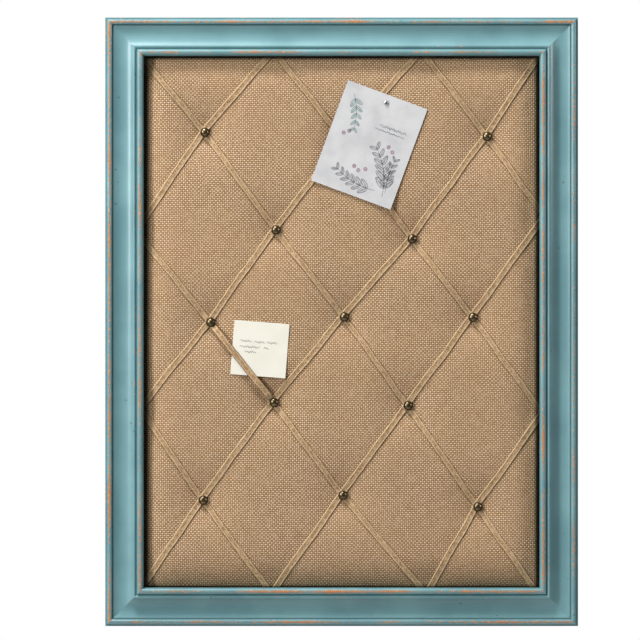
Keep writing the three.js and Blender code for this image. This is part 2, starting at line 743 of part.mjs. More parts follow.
const cardTop = PIN_BELOW_CARD_TOP;
const cardLeft = -PIN_OFF_CARD_CENTRE - CARD_WIDTH / 2;
const cardShape = outline([
  [cardLeft, cardTop - CARD_HEIGHT],
  [cardLeft + CARD_WIDTH, cardTop - CARD_HEIGHT],
  [cardLeft + CARD_WIDTH, cardTop],
  [cardLeft, cardTop],
]);
cardShape.holes.push(new THREE.Path().absarc(0, 0, needleHole, 0, 2 * Math.PI, true));
const card = addPiece("pinned_card", plate(cardShape, cardBack, cardBack + CARD_THICKNESS), materials.card);
card.position.set(pinX, 0, pinZ);
card.rotation.y = CARD_TILT;
addPiece("card_pin", pinGeometry(), materials.steel);

// The board hangs from its hooks, so its own centre lies below the origin
board.position.z = -hookLine;
const memoBoard = new THREE.Group();
memoBoard.add(board);

export default memoBoard;
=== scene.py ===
# French memo board: distressed teal moulding, tufted burlap, jute ribbons, nails and paper.
# Shapes are worked out in millimetres from the board's centre: x across, v up from the wall, z up.
# row() turns them into the frame's metres.
import math
import random

import bmesh
import bpy
import numpy as np
from mathutils import Matrix, Vector, noise


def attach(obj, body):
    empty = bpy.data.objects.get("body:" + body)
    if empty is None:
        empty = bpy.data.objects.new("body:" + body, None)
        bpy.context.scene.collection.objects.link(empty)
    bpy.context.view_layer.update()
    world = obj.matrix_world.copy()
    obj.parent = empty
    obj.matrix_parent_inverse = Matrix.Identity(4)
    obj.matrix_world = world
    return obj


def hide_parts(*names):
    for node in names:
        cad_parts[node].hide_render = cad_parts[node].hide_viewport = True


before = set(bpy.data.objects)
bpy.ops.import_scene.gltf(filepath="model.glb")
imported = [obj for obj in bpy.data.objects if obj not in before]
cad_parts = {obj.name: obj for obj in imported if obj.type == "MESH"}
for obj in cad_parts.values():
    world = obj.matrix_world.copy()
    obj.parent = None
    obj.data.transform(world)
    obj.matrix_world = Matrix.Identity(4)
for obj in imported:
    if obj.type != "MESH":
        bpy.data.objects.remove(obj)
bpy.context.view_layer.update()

MM = 0.001
HOOK_LINE = 194.0
BOARD = "framed_panel"

# Moulding section, with a flatter cove and a broader small bead than the solids have
SIGHT_WIDTH = 444.5
SIGHT_HEIGHT = 597.0
MOULDING_WIDTH = 43.3
REBATE_WIDTH = 6.35
REBATE_DEPTH = 13.5
LEDGE_WIDTH = 1.8
LEDGE_TOP = 13.0
OUTER_BEAD_RADIUS = 3.1
OUTER_BEAD_SPRING = 14.6
OUTER_QUIRK_WIDTH = 1.4
OUTER_QUIRK_TOP = 13.2
COVE_RADIUS = 20.0
COVE_OUTER_TOP = 16.3
COVE_INNER_TOP = 18.0
SMALL_BEAD_RADIUS = 2.0
SMALL_BEAD_SPRING = 20.0
INNER_QUIRK_WIDTH = 1.2
INNER_QUIRK_TOP = 20.0
SIGHT_BEAD_RADIUS = 3.2
SIGHT_BEAD_SPRING = 21.0
SIGHT_FILLET = 0.8

# Filler and paint raise the quirks' floors, and lie thickest on the right and the bottom member
OUTER_QUIRK_FILL = {"top": 0.8, "left": 0.8, "right": 2.8, "bottom": 2.8}
INNER_QUIRK_FILL = 0.6

# Panel heights above the wall and its edges
PAD_BASE = 8.55
BURLAP_CROWN = 17.2
BURLAP_LIP = 10.6
NAIL_DISH = 11.0
BURLAP_EDGE_X = 226.3
BURLAP_EDGE_Z = 302.55
HEM_FLOOR = 3.8
HEM_WIDTH = 28.0
LIP_INSET = 0.6
ROLL = 34.0
RIM_ROLL = 4.5
RIM_DROP = 1.8
TUFT_SEAT = 3.5
TUFT_RADIUS = 62.0

# Grids of the cover and the padding, and how the padding lies inside the cover
FACE_STEP = 3.2
PAD_STEP = 6.0
PAD_INSET = 1.2
COVER_THICKNESS = 1.0
PAD_LEAST = 0.1
WEAVE_PITCH = 2.15

# Widths of the painted shade in the gap between the panel and the frame; the left one, the widest, also
# paints the left member's cast shadow
GAP = {"left": 9.0, "right": 8.5, "top": 5.0, "bottom": 2.5}

# Painted shade that darkens the panel towards its foot, and how far up it fades
FOOT_SHADE = 0.36
FOOT_REACH = 22.0

# Lattice of crossings and how far each was laid by hand from its even place
COLUMN_PITCH = 76.8
ROW_PITCH = 102.217
LATTICE_X = 1.0
LATTICE_Z = 4.0
LATTICE_REACH = 2
HAND_LAID = {
    (-3, 3): (-5, 0), (-1, 3): (1, -7), (1, 3): (13, -7), (-2, 2): (-1, 4.5), (0, 2): (2, -5),
    (2, 2): (9, 0), (-3, 1): (0, -5), (-1, 1): (2, -3), (1, 1): (1.5, -13), (3, 1): (-2.5, 11),
    (-2, 0): (5.5, -4.5), (0, 0): (2, 1.5), (2, 0): (-7, 1), (-3, -1): (4.5, 0), (-1, -1): (0, 7.5),
    (1, -1): (-3, 4), (3, -1): (-4.5, -5.5), (-2, -2): (-3, 0), (0, -2): (0.5, 5.5),
    (2, -2): (-1.5, -7.5), (-3, -3): (4, 0), (-1, -3): (-1.5, -4), (1, -3): (19, -4.4),
    (3, -3): (-12.5, 0),
}

# Ribbons
RIBBON_WIDTH = 7.2
RIBBON_THICKNESS = 0.6
RIBBON_TURN_OVER = 22.0
RIBBON_LIFT = 0.15
RIBBON_EDGE_X = BURLAP_EDGE_X + RIBBON_LIFT
RIBBON_EDGE_Z = BURLAP_EDGE_Z + RIBBON_LIFT
RIBBON_PRESS = 0.6
RIBBON_VALLEY = 12.0
NAIL_PULL = {"falling": 3.8, "rising": 1.8}
NAIL_PULL_REACH = 35.0
RIM_PULL = 2.4
RIM_PULL_REACH = 26.0
RIBBON_STEP = 2.0
RIBBON_WANDER = 0.9
RIBBON_RAGGED = 0.09
RIBBON_LAYER = 0.15
RIBBON_BACK_LAYER = 0.7
CROSSING_REACH = 16.0
WARP_PITCH = 1.3
WEFT_PITCH = 1.9
ASIDE = {"falling": -0.5, "rising": 1.7}

# Places across a ribbon, its raised selvedge and its turned down edge
TAPE_LINES = (-3.6, -3.35, -3.0, -2.5, -1.4, 0, 1.4, 2.5, 3.0, 3.35, 3.6)
SELVEDGE_PLACE = 2.8
SELVEDGE_WIDTH = 0.5
SELVEDGE_HEIGHT = 0.28
EDGE_PLACE = 3.0
EDGE_WIDTH = 0.6
EDGE_DROP = 0.5

# The rising ribbons' upper edge faces the lights, so that its mask stops short of the painted edge shade
LIT_EDGE_SHARE = 0.74

# Nails and pin
NAIL_HEAD_RADIUS = 5.3
NAIL_HEAD_HEIGHT = 4.8
NAIL_SEAT = 10.9
NAIL_PRESS = 7.0
NAIL_TIP = 5.5
NAIL_WALL = 0.6
NAIL_CROWN_WALL = 0.8
NAIL_SHANK_RADIUS = 0.9
POINT_LENGTH = 1.6
POINT_RADIUS = 0.1
PIN = (50.0, 246.0)
PIN_SEAT = 18.5
PIN_NEEDLE_RADIUS = 0.5
PIN_HEAD_RADIUS = 2.6

# Note and the ribbon drawn over it
NOTE_WIDTH = 62.0
NOTE_HEIGHT = 61.0
NOTE_THICKNESS = 0.25
NOTE_TILT = math.radians(4.5)
NOTE_CURL = 0.9
NOTE_SEAT = 17.35
NOTE_CENTRE = (-91.8, -30.7)
NOTE_INK_LIFT = 0.31
NOTE_RIBBON = "ribbon_falling_2"
NOTE_TUCK = (-112.0, -46.0)
NOTE_CLEARANCE = 0.45
NOTE_SPAN = 30.0
NOTE_RIBBON_SLOPE = 0.2

# Card
CARD_WIDTH = 95.0
CARD_HEIGHT = 120.0
CARD_THICKNESS = 0.35
CARD_TILT = math.radians(20.3)
CARD_SEAT = 17.82
CARD_FOOT_CURL = 0.8
CARD_FOOT_CURL_FROM = 30.0
CARD_SIDE_CURL = 0.25
CARD_WASH_LIFT = 0.38
CARD_INK_LIFT = 0.41
PIN_BELOW_CARD_TOP = 9.0
PIN_OFF_CARD_CENTRE = 1.4

# Staples in the hem
STAPLE_LENGTH = 10.0
STAPLE_WIDTH = 1.0
STAPLE_CROWN = 1.15
STAPLE_SINK = 0.1
STAPLE_INSET = 17.0
STAPLE_PITCH_X = 58
STAPLE_PITCH_Z = 60
STAPLE_OFFSET_X = 6
STAPLE_OFFSET_Z = 12

# How much the paint is rubbed off the outer bead and the sight bead of each member
WEAR = {"top": (1.0, 0.85), "left": (1.12, 0.9), "right": (0.78, 1.0), "bottom": (0.9, 1.0)}


def row(x, v, z):
    """A point in millimetres from the board's centre, in the frame's metres."""
    return (x * MM, -v * MM, (z - HOOK_LINE) * MM)


def colour(*channels):
    """An sRGB colour, 0 to 255, as linear RGBA."""
    shares = [channel / 255 for channel in channels]
    linear = [c / 12.92 if c <= 0.04045 else ((c + 0.055) / 1.055) ** 2.4 for c in shares]
    return (*linear, 1.0)


# Dark brown painted as shade on the burlap and tapes, in the gap along the frame and towards the panel's
# foot
PAINTED_SHADE_DARK = colour(24, 19, 14)


class Surface:
    """A material whose nodes are built step by step."""

    def __init__(self, name, roughness=0.5, metallic=0.0, specular=0.5):
        self.material = bpy.data.materials.new(name)
        self.material.use_nodes = True
        self.tree = self.material.node_tree
        self.shader = self.tree.nodes["Principled BSDF"]
        self.shader.inputs["Roughness"].default_value = roughness
        self.shader.inputs["Metallic"].default_value = metallic
        self.shader.inputs["Specular IOR Level"].default_value = specular

    def feed(self, socket, value):
        if isinstance(value, bpy.types.NodeSocket):
            self.tree.links.new(value, socket)
        else:
            socket.default_value = value

    def node(self, kind, values=None, **settings):
        """Outputs of a new node whose inputs are fed by place or by name."""
        made = self.tree.nodes.new(kind)
        for key, value in settings.items():
            setattr(made, key, value)
        for key, value in (values or {}).items():
            self.feed(made.inputs[key], value)
        return made.outputs

    def math(self, operation, *values):
        return self.node("ShaderNodeMath", dict(enumerate(values)), operation=operation)[0]

    def times(self, first, second):
        return self.math("MULTIPLY", first, second)

    def add_scaled(self, value, factor, base):
        return self.math("MULTIPLY_ADD", value, factor, base)

    def uv(self):
        return self.node("ShaderNodeUVMap", uv_map="flat")[0]

    def place(self):
        return self.node("ShaderNodeTexCoord")["Object"]

    def mask(self, name):
        return self.node("ShaderNodeAttribute", attribute_name=name)["Fac"]

    def vector(self, operation, first, second):
        return self.node("ShaderNodeVectorMath", {0: first, 1: second}, operation=operation)[0]

    def split(self, vector):
        return self.node("ShaderNodeSeparateXYZ", {0: vector})

    def join(self, x, y, z=0.0):
        return self.node("ShaderNodeCombineXYZ", {0: x, 1: y, 2: z})[0]

    def noise(self, vector, scale, detail=2.0, rough=0.5, output="Fac"):
        values = {"Vector": vector, "Scale": scale, "Detail": detail, "Roughness": rough}
        return self.node("ShaderNodeTexNoise", values)[output]

    def grain(self, vector, scales, detail=2.0, rough=0.5, output="Fac"):
        """Noise with its own scale along each axis."""
        return self.noise(self.vector("MULTIPLY", vector, scales), 1.0, detail, rough, output)

    def chance(self, vector):
        """A random number for each whole-numbered place."""
        return self.node("ShaderNodeTexWhiteNoise", {"Vector": vector}, noise_dimensions="3D")["Value"]

    def between(self, value, low, high, out_low=0.0, out_high=1.0):
        """Smooth step of a value from low to high."""
        values = dict(enumerate((value, low, high, out_low, out_high)))
        return self.node("ShaderNodeMapRange", values, interpolation_type="SMOOTHSTEP")[0]

    def mix(self, share, first, second):
        return self.node("ShaderNodeMix", {0: share, 6: first, 7: second}, data_type="RGBA")[2]

    def paint(self, base):
        self.feed(self.shader.inputs["Base Color"], base)

    def rough(self, value):
        self.feed(self.shader.inputs["Roughness"], value)

    def bump(self, height, depth_mm):
        values = {"Height": height, "Distance": depth_mm * MM, "Strength": 1.0}
        self.feed(self.shader.inputs["Normal"], self.node("ShaderNodeBump", values)[0])


def distressed_paint():
    """Grey-teal paint, brushed lengthwise, darkened in the quirks by glazing and painted shade, and
    chipped to wood on the beads.
    """
    s = Surface("distressed_paint")
    flat = s.uv()
    mottle = s.noise(s.place(), 18, 3)
    brush = s.grain(flat, (12, 700, 1), 3, 0.6)
    base = s.mix(s.between(mottle, 0.3, 0.7), colour(110, 152, 158), colour(125, 168, 173))
    base = s.mix(s.between(brush, 0.4, 0.75, 0.0, 0.25), base, colour(98, 143, 151))
    # Dark glazing in the quirks, which also paints in the shade that falls there
    quirk_glazing_and_shade = s.times(s.mask("quirk"), s.between(mottle, 0.2, 0.8, 0.15, 0.4))
    base = s.mix(quirk_glazing_and_shade, base, colour(54, 78, 80))
    dent = s.between(s.noise(s.place(), 150, 2, 0.6), 0.71, 0.76)
    base = s.mix(s.times(dent, 0.6), base, colour(56, 74, 74))
    patch = s.grain(flat, (16, 40, 1), 2, 0.5)
    chip = s.grain(flat, (300, 560, 1), 3, 0.65)
    rub = s.add_scaled(s.mask("crest"), 0.42, s.times(patch, 0.75))
    rub = s.add_scaled(chip, 1.15, rub)
    worn = s.between(rub, 1.33, 1.37)
    wood = s.mix(s.between(chip, 0.5, 0.75), colour(196, 128, 80), colour(224, 172, 128))
    s.paint(s.mix(worn, base, wood))
    s.rough(s.add_scaled(worn, 0.35, s.between(brush, 0.2, 0.8, 0.25, 0.35)))
    relief = s.add_scaled(brush, 0.12, s.times(s.math("ADD", worn, dent), -1.0))
    s.bump(relief, 0.14)
    return s.material


def burlap_weave():
    """Plain weave of uneven threads that sway along the sheet's flat directions."""
    s = Surface("burlap_weave", roughness=0.92, specular=0.1)
    light, dark, gap = colour(242, 215, 180), colour(195, 155, 111), colour(110, 74, 45)
    flat = s.uv()
    sway = s.grain(flat, (18, 18, 1), 4.0, 0.6, "Color")
    drift = s.vector("MULTIPLY", sway, (2.2, 2.2, 0))
    count = 1 / (WEAVE_PITCH * MM)
    threads = s.vector("ADD", s.vector("MULTIPLY", flat, (count, count, 0)), drift)
    u, v, _ = s.split(threads)
    column = s.math("FLOOR", u)
    line = s.math("FLOOR", v)
    weft_on_top = s.math("FLOORED_MODULO", s.math("ADD", column, line), 2.0)
    warp_round = s.math("SINE", s.times(s.math("FRACT", u), math.pi))
    weft_round = s.math("SINE", s.times(s.math("FRACT", v), math.pi))
    warp_float = s.times(warp_round, s.math("POWER", weft_round, 0.45))
    weft_float = s.times(weft_round, s.math("POWER", warp_round, 0.45))
    warp_fat = s.noise(s.join(column, s.times(v, 0.12), 3.0), 1.0, 2, 0.6)
    weft_fat = s.noise(s.join(line, s.times(u, 0.12), 9.0), 1.0, 2, 0.6)
    warp_float = s.times(warp_float, 0.72)
    height = s.add_scaled(weft_on_top, s.math("SUBTRACT", weft_float, warp_float), warp_float)
    fat = s.add_scaled(weft_on_top, s.math("SUBTRACT", weft_fat, warp_fat), warp_fat)
    height = s.times(height, s.between(fat, 0.3, 0.7, 0.75, 1.0))
    knot = s.chance(s.join(column, line))
    fibre = s.grain(flat, (2600, 2600, 1), 2, 0.6)
    tone = s.add_scaled(knot, 0.4, s.times(fat, 0.5))
    tone = s.add_scaled(fibre, 0.5, tone)
    tone = s.add_scaled(weft_on_top, 0.55, tone)
    base = s.mix(s.between(tone, 0.4, 1.5), dark, light)
    # Painted shade where the threads dive under each other and in the gaps between them
    base = s.mix(s.between(height, 0.05, 0.6), gap, base)
    fleck = s.between(s.grain(flat, (260, 260, 1), 1, 0.5), 0.77, 0.8)
    base = s.mix(s.times(fleck, 0.6), base, gap)
    cloud = s.noise(flat, 9, 2)
    base = s.mix(s.between(cloud, 0.3, 0.7, 0.0, 0.16), base, dark)
    # Painted shade that darkens the panel towards its foot
    base = s.mix(s.times(s.mask("foot"), FOOT_SHADE), base, PAINTED_SHADE_DARK)
    # Painted shade in the gap along the frame
    s.paint(s.mix(s.between(s.mask("rim"), 0.1, 0.75, 0.0, 0.9), base, PAINTED_SHADE_DARK))
    s.bump(height, 0.4)
    return s.material


def jute_tape():
    """Tight weave of uneven threads, with a painted highlight along each selvedge and painted shade
    along its ragged edges.
    """
    s = Surface("jute_tape", roughness=0.9, specular=0.1)
    flat = s.uv()
    across, along, _ = s.split(flat)
    column = s.math("FLOOR", s.times(across, 1 / (WARP_PITCH * MM)))
    line = s.math("FLOOR", s.times(along, 1 / (WEFT_PITCH * MM)))
    pick = s.chance(s.join(column, line))
    fibres = s.grain(flat, (1500, 700, 1), 3, 0.65)
    strands = s.grain(flat, (760, 40, 1), 2, 0.5)
    tone = s.add_scaled(pick, 0.3, s.times(fibres, 0.7))
    tone = s.add_scaled(strands, 0.3, tone)
    base = s.mix(s.between(tone, 0.35, 0.95), colour(144, 110, 75), colour(215, 184, 144))
    edge_shading = s.add_scaled(s.math("SUBTRACT", fibres, 0.5), 0.3, s.mask("edge"))
    # Painted highlight along the raised selvedge
    ridge = s.math("SUBTRACT", s.between(edge_shading, 0.46, 0.6), s.between(edge_shading, 0.66, 0.76))
    base = s.mix(s.times(ridge, 0.6), base, colour(236, 209, 170))
    # Painted shade along the tape's ragged edges
    base = s.mix(s.between(edge_shading, 0.72, 0.92, 0.0, 0.6), base, colour(88, 56, 33))
    # Painted shade where the tape runs into the gap along the frame
    base = s.mix(s.between(s.mask("rim"), 0.1, 0.75, 0.0, 0.85), base, PAINTED_SHADE_DARK)
    s.paint(base)
    s.bump(s.math("ADD", tone, fibres), 0.3)
    return s.material


def antique_brass():
    """Dark bronzed brass, worn brighter in patches and on the crown of each dome, and dark towards the
    rim with patina and painted shade.
    """
    s = Surface("antique_brass", metallic=0.9)
    patina = s.noise(s.place(), 700, 3, 0.6)
    blotch = s.noise(s.place(), 160, 2)
    base = s.mix(s.between(patina, 0.35, 0.7), colour(108, 93, 68), colour(140, 122, 92))
    base = s.mix(s.between(blotch, 0.45, 0.7, 0.0, 0.6), base, colour(84, 71, 50))
    crown_rub_and_rim_shade = s.mask("crown_rub_and_rim_shade")
    # Towards the rim the brass turns dark: patina, and painted shade at the dome's edge
    s.paint(s.mix(s.between(crown_rub_and_rim_shade, 0.15, 0.75), colour(44, 36, 26), base))
    s.rough(s.between(crown_rub_and_rim_shade, 0.1, 0.7, 0.46, 0.33))
    s.bump(patina, 0.03)
    return s.material


def plated_steel():
    """Zinc-plated steel with fine drawing lines and dull patches."""
    s = Surface("plated_steel", roughness=0.35, metallic=1.0)
    lines = s.grain(s.place(), (300, 300, 4000), 2, 0.6)
    dull = s.noise(s.place(), 240, 3)
    base = s.mix(s.between(dull, 0.35, 0.7), colour(206, 208, 212), colour(168, 171, 176))
    s.paint(base)
    s.rough(s.between(lines, 0.3, 0.7, 0.26, 0.44))
    s.bump(lines, 0.02)
    return s.material


def hardboard():
    """Pressed brown fibreboard with the screen pattern of its rough side."""
    s = Surface("hardboard", roughness=0.8)
    x, _, z = s.split(s.vector("MULTIPLY", s.place(), (1000, 1000, 1000)))
    screen = 2 * math.pi / 2.6
    waffle = s.times(s.math("SINE", s.times(x, screen)), s.math("SINE", s.times(z, screen)))
    fibre = s.grain(s.place(), (900, 900, 300), 4, 0.65)
    cloud = s.noise(s.place(), 12, 3)
    base = s.mix(s.between(fibre, 0.3, 0.7), colour(104, 74, 48), colour(146, 110, 76))
    base = s.mix(s.between(cloud, 0.35, 0.7, 0.0, 0.4), base, colour(92, 66, 44))
    base = s.mix(s.between(waffle, -1.0, 0.2, 0.4, 0.0), base, colour(70, 48, 30))
    s.paint(base)
    s.bump(s.math("ADD", waffle, s.times(fibre, 0.5)), 0.25)
    return s.material


def paper(name, base, shade):
    """Uncoated paper: faint fibre, a few flecks and slightly soiled patches."""
    s = Surface(name, roughness=0.7)
    fibre = s.noise(s.place(), 1800, 3, 0.7)
    cloud = s.noise(s.place(), 45, 3)
    tint = s.mix(s.between(cloud, 0.3, 0.75, 0.0, 0.7), base, shade)
    tint = s.mix(s.between(fibre, 0.66, 0.74, 0.0, 0.3), tint, shade)
    s.paint(tint)
    s.bump(fibre, 0.03)
    return s.material


def ink(name, full, thin):
    """Pen line that thins and thickens along its stroke."""
    s = Surface(name, roughness=0.6)
    flow = s.noise(s.place(), 260, 2)
    s.paint(s.mix(s.between(flow, 0.3, 0.7), full, thin))
    return s.material


def wadding_white():
    """Loose white polyester wadding."""
    s = Surface("wadding_white", roughness=0.95)
    tuft = s.noise(s.place(), 130, 4, 0.7)
    s.paint(s.mix(tuft, colour(214, 210, 200), colour(246, 244, 238)))
    s.bump(tuft, 1.0)
    return s.material


def put(name, data):
    """A new object in the scene."""
    made = bpy.data.objects.new(name, data)
    bpy.context.scene.collection.objects.link(made)
    return made


def mesh_object(name, points, faces, material, flat=None, masks=None, closed=False):
    """A smooth mesh from points in millimetres, with flat places and masks at the points."""
    mesh = bpy.data.meshes.new(name)
    mesh.from_pydata([row(*point) for point in points], [], faces)
    if flat is not None:
        layer = mesh.uv_layers.new(name="flat")
        for loop in mesh.loops:
            along, across = flat[loop.vertex_index]
            layer.data[loop.index].uv = (along * MM, across * MM)
    for mask, values in (masks or {}).items():
        mesh.attributes.new(mask, "FLOAT", "POINT").data.foreach_set("value", values)
    if closed:
        shape = bmesh.new()
        shape.from_mesh(mesh)
        bmesh.ops.recalc_face_normals(shape, faces=shape.faces)
        shape.to_mesh(mesh)
        shape.free()
    mesh.shade_smooth()
    mesh.set_sharp_from_angle(angle=math.radians(40))
    mesh.materials.append(material)
    return put(name, mesh)


def grid_faces(rows, columns, ring=False):
    """Quads between rows of points; ring joins the last column to the first."""
    faces = []
    for i in range(rows - 1):
        for j in range(columns if ring else columns - 1):
            k = (j + 1) % columns
            here, above = i * columns, (i + 1) * columns
            faces.append((here + j, here + k, above + k, above + j))
    return faces


def tube_faces(rings, sides):
    """Faces of a tube of rings of points, with both its ends."""
    ends = [tuple(range(sides)), tuple(range((rings - 1) * sides, rings * sides))]
    return grid_faces(rings, sides, ring=True) + ends


def slab(name, top, bottom, columns, material, flat=None, masks=None):
    """A thin closed piece between two grids of points, given line by line."""
    count = len(top)
    lines = count // columns
    faces = grid_faces(lines, columns)
    faces += [tuple(count + k for k in reversed(face)) for face in faces]
    grid = np.arange(count).reshape(lines, columns)
    rim = [*grid[0], *grid[1:, -1], *grid[-1, -2::-1], *grid[-2:0:-1, 0]]
    rim = [int(k) for k in rim]
    for a, b in zip(rim, rim[1:] + rim[:1]):
        faces.append((a, b, count + b, count + a))
    both_flat = flat + flat if flat else None
    both_masks = {mask: values + values for mask, values in (masks or {}).items()}
    return mesh_object(name, top + bottom, faces, material, both_flat, both_masks, closed=True)


def soften(piece, width_mm):
    """Small rounds on the piece's sharp edges."""
    bevel = piece.modifiers.new("soft_edges", "BEVEL")
    bevel.width = width_mm * MM
    bevel.segments = 2
    bevel.limit_method = "ANGLE"
    bevel.angle_limit = math.radians(35)
    bevel.harden_normals = True


def dress(piece, body, slot, *nodes):
    """The piece rides on a body and stands for the nodes; its slot is not used."""
    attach(piece, body)
    if nodes:
        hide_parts(*nodes)


# Moulding
def arc(centre, radius, start, end, steps):
    """Points on an arc from one angle to another, both in degrees."""
    points = []
    for step in range(steps + 1):
        angle = math.radians(start + (end - start) * step / steps)
        points.append((centre[0] + radius * math.cos(angle), centre[1] + radius * math.sin(angle)))
    return points


def bead(centre, radius, share):
    """Half-round bead, outer side first: points, crest wear, and glazing with painted shade at the foot.
    """
    points = arc(centre, radius, 180, 0, 16)
    lift = [(v - centre[1]) / radius for _, v in points]
    crest = [share * max(0.0, h) ** 3 for h in lift]
    quirk = [max(0.0, 1 - h / 0.2) * 0.6 for h in lift]
    return points, crest, quirk


def moulding_section(side):
    """Closed section as (distance in from the outer edge, height, crest mask, quirk mask)."""
    outer_wear, sight_wear = WEAR[side]
    sight_bead = MOULDING_WIDTH - SIGHT_FILLET - SIGHT_BEAD_RADIUS
    inner_quirk = sight_bead - SIGHT_BEAD_RADIUS
    small_bead = inner_quirk - INNER_QUIRK_WIDTH - SMALL_BEAD_RADIUS
    outer_bead = LEDGE_WIDTH + OUTER_BEAD_RADIUS
    outer_quirk = outer_bead + OUTER_BEAD_RADIUS
    cove_outer = Vector((outer_quirk + OUTER_QUIRK_WIDTH, COVE_OUTER_TOP))
    cove_inner = Vector((small_bead - SMALL_BEAD_RADIUS, COVE_INNER_TOP))
    chord = cove_inner - cove_outer
    rise = math.sqrt(COVE_RADIUS ** 2 - chord.length_squared / 4)
    upright = Vector((-chord.y, chord.x)).normalized()
    cove = (cove_outer + cove_inner) / 2 + upright * rise
    start = math.degrees(math.atan2(cove_outer.y - cove.y, cove_outer.x - cove.x))
    end = math.degrees(math.atan2(cove_inner.y - cove.y, cove_inner.x - cove.x))

    section = []

    def add(points, crest=0.0, quirk=0.0):
        for i, point in enumerate(points):
            worn = crest[i] if isinstance(crest, list) else crest
            dark = quirk[i] if isinstance(quirk, list) else quirk
            section.append((point[0], point[1], worn, dark))

    add([(0, 0), (0, LEDGE_TOP * 0.5)])
    add([(0, LEDGE_TOP)], 0.6 * outer_wear)
    add([(LEDGE_WIDTH, LEDGE_TOP)], 0, 0.9)
    add(*bead((outer_bead, OUTER_BEAD_SPRING), OUTER_BEAD_RADIUS, outer_wear))
    outer_floor = OUTER_QUIRK_TOP + OUTER_QUIRK_FILL[side]
    add([(outer_quirk, outer_floor), (cove_outer.x, outer_floor)], 0, 1.0)
    scoop = arc(cove, COVE_RADIUS, start, end, 28)
    # Glazing and painted shade fade out over the start of the scoop
    scoop_glazing_and_shade = [max(0.0, 0.4 - 0.14 * i) for i in range(len(scoop))]
    add(scoop, 0.0, scoop_glazing_and_shade)
    add([(cove_inner.x, COVE_INNER_TOP + 0.7)], 0, 0.9)
    add(*bead((small_bead, SMALL_BEAD_SPRING), SMALL_BEAD_RADIUS, 0.45))
    inner_floor = INNER_QUIRK_TOP + INNER_QUIRK_FILL
    add([(small_bead + SMALL_BEAD_RADIUS, inner_floor), (inner_quirk, inner_floor)], 0, 1.0)
    add(*bead((sight_bead, SIGHT_BEAD_SPRING), SIGHT_BEAD_RADIUS, sight_wear))
    add([(sight_bead + SIGHT_BEAD_RADIUS, SIGHT_BEAD_SPRING - SIGHT_FILLET)], 0.1, 0.2)
    add([(MOULDING_WIDTH, SIGHT_BEAD_SPRING - SIGHT_FILLET)], 0.3, 0.1)
    add([(MOULDING_WIDTH, REBATE_DEPTH), (MOULDING_WIDTH - REBATE_WIDTH, REBATE_DEPTH)])
    add([(MOULDING_WIDTH - REBATE_WIDTH, 0)])
    return section


def frame_member(name, side, material):
    """One mitred member with fine arcs and paint masks, and its own part of the paint's pattern."""
    section = moulding_section(side)
    upright = side in ("left", "right")
    outer_width = SIGHT_WIDTH + 2 * MOULDING_WIDTH
    outer_height = SIGHT_HEIGHT + 2 * MOULDING_WIDTH
    half_length = (outer_height if upright else outer_width) / 2
    half_across = (outer_width if upright else outer_height) / 2
    turn = {"top": 0, "right": -90, "bottom": 180, "left": 90}[side]
    cos, sin = math.cos(math.radians(turn)), math.sin(math.radians(turn))
    stations = 61
    paint_start = 1500 * (turn + 100) / 90
    girth = [0.0]
    for (a, b, *_), (c, d, *_) in zip(section, section[1:]):
        girth.append(girth[-1] + math.hypot(c - a, d - b))
    points, flat, crest, quirk = [], [], [], []
    for i in range(stations):
        share = -1 + 2 * i / (stations - 1)
        for (inward, v, worn, dark), around in zip(section, girth):
            along = share * (half_length - inward)
            out = half_across - inward
            points.append((along * cos - out * sin, v, along * sin + out * cos))
            flat.append((along + paint_start, around))
            crest.append(worn)
            quirk.append(dark)
    faces = tube_faces(stations, len(section))
    masks = {"crest": crest, "quirk": quirk}
    piece = mesh_object(f"moulding_{name}", points, faces, material, flat, masks, closed=True)
    soften(piece, 0.2)
    dress(piece, BOARD, "distressed_paint", name)


# Tufted panel
def crossing(column, line):
    drift = HAND_LAID.get((column, line), (0, 0))
    return (LATTICE_X + column * COLUMN_PITCH + drift[0], LATTICE_Z + line * ROW_PITCH + drift[1])


def nail_places():
    """Node name and place of each nail, by rows from the top."""
    places = {}
    for line in range(LATTICE_REACH, -LATTICE_REACH - 1, -1):
        columns = [c for c in range(-LATTICE_REACH, LATTICE_REACH + 1) if (c + line) % 2 == 0]
        sides = ("left", "middle", "right") if len(columns) == 3 else ("left", "right")
        for column, side in zip(columns, sides):
            places[f"nail_row{LATTICE_REACH + 1 - line}_{side}"] = crossing(column, line)
    return places


NAILS = nail_places()


def ribbon_route(family, line):
    """Crossings along a ribbon, run out past the panel's edge at both ends."""
    reach = LATTICE_REACH + 1
    route = []
    for column in range(-reach, reach + 1):
        level = line - column if family == "falling" else column - line
        if abs(level) <= reach:
            route.append(Vector(crossing(column, level)))
    run_out = MOULDING_WIDTH + RIBBON_TURN_OVER
    first = route[0] + (route[0] - route[1]).normalized() * run_out
    last = route[-1] + (route[-1] - route[-2]).normalized() * run_out
    return [first] + route + [last]


RIBBONS = {}
for family in ("falling", "rising"):
    for number, line in enumerate((-4, -2, 0, 2, 4), start=1):
        RIBBONS[family, number] = ribbon_route(family, line)


def distance_to_route(x, z, route):
    """Distance of each place from a line of points."""
    nearest = np.full(np.shape(x), np.inf)
    for start, end in zip(route, route[1:]):
        run = end - start
        share = ((x - start.x) * run.x + (z - start.y) * run.y) / run.length_squared
        share = np.clip(share, 0, 1)
        nearest = np.minimum(nearest, np.hypot(x - start.x - share * run.x, z - start.y - share * run.y))
    return nearest


def rim_shade(x, z):
    """Mask of the painted shade in the gap along the frame: 1 at the opening's edge, 0 a few millimetres
    in.
    """
    half_x, half_z = SIGHT_WIDTH / 2, SIGHT_HEIGHT / 2
    insets = {"left": half_x + x, "right": half_x - x, "top": half_z - z, "bottom": half_z + z}
    return max(min(1.0, max(0.0, 1 - insets[side] / GAP[side])) for side in GAP)


def eased(share):
    """Quick rise from 0 that levels out at 1."""
    return 1 - (1 - np.clip(share, 0, 1)) ** 2


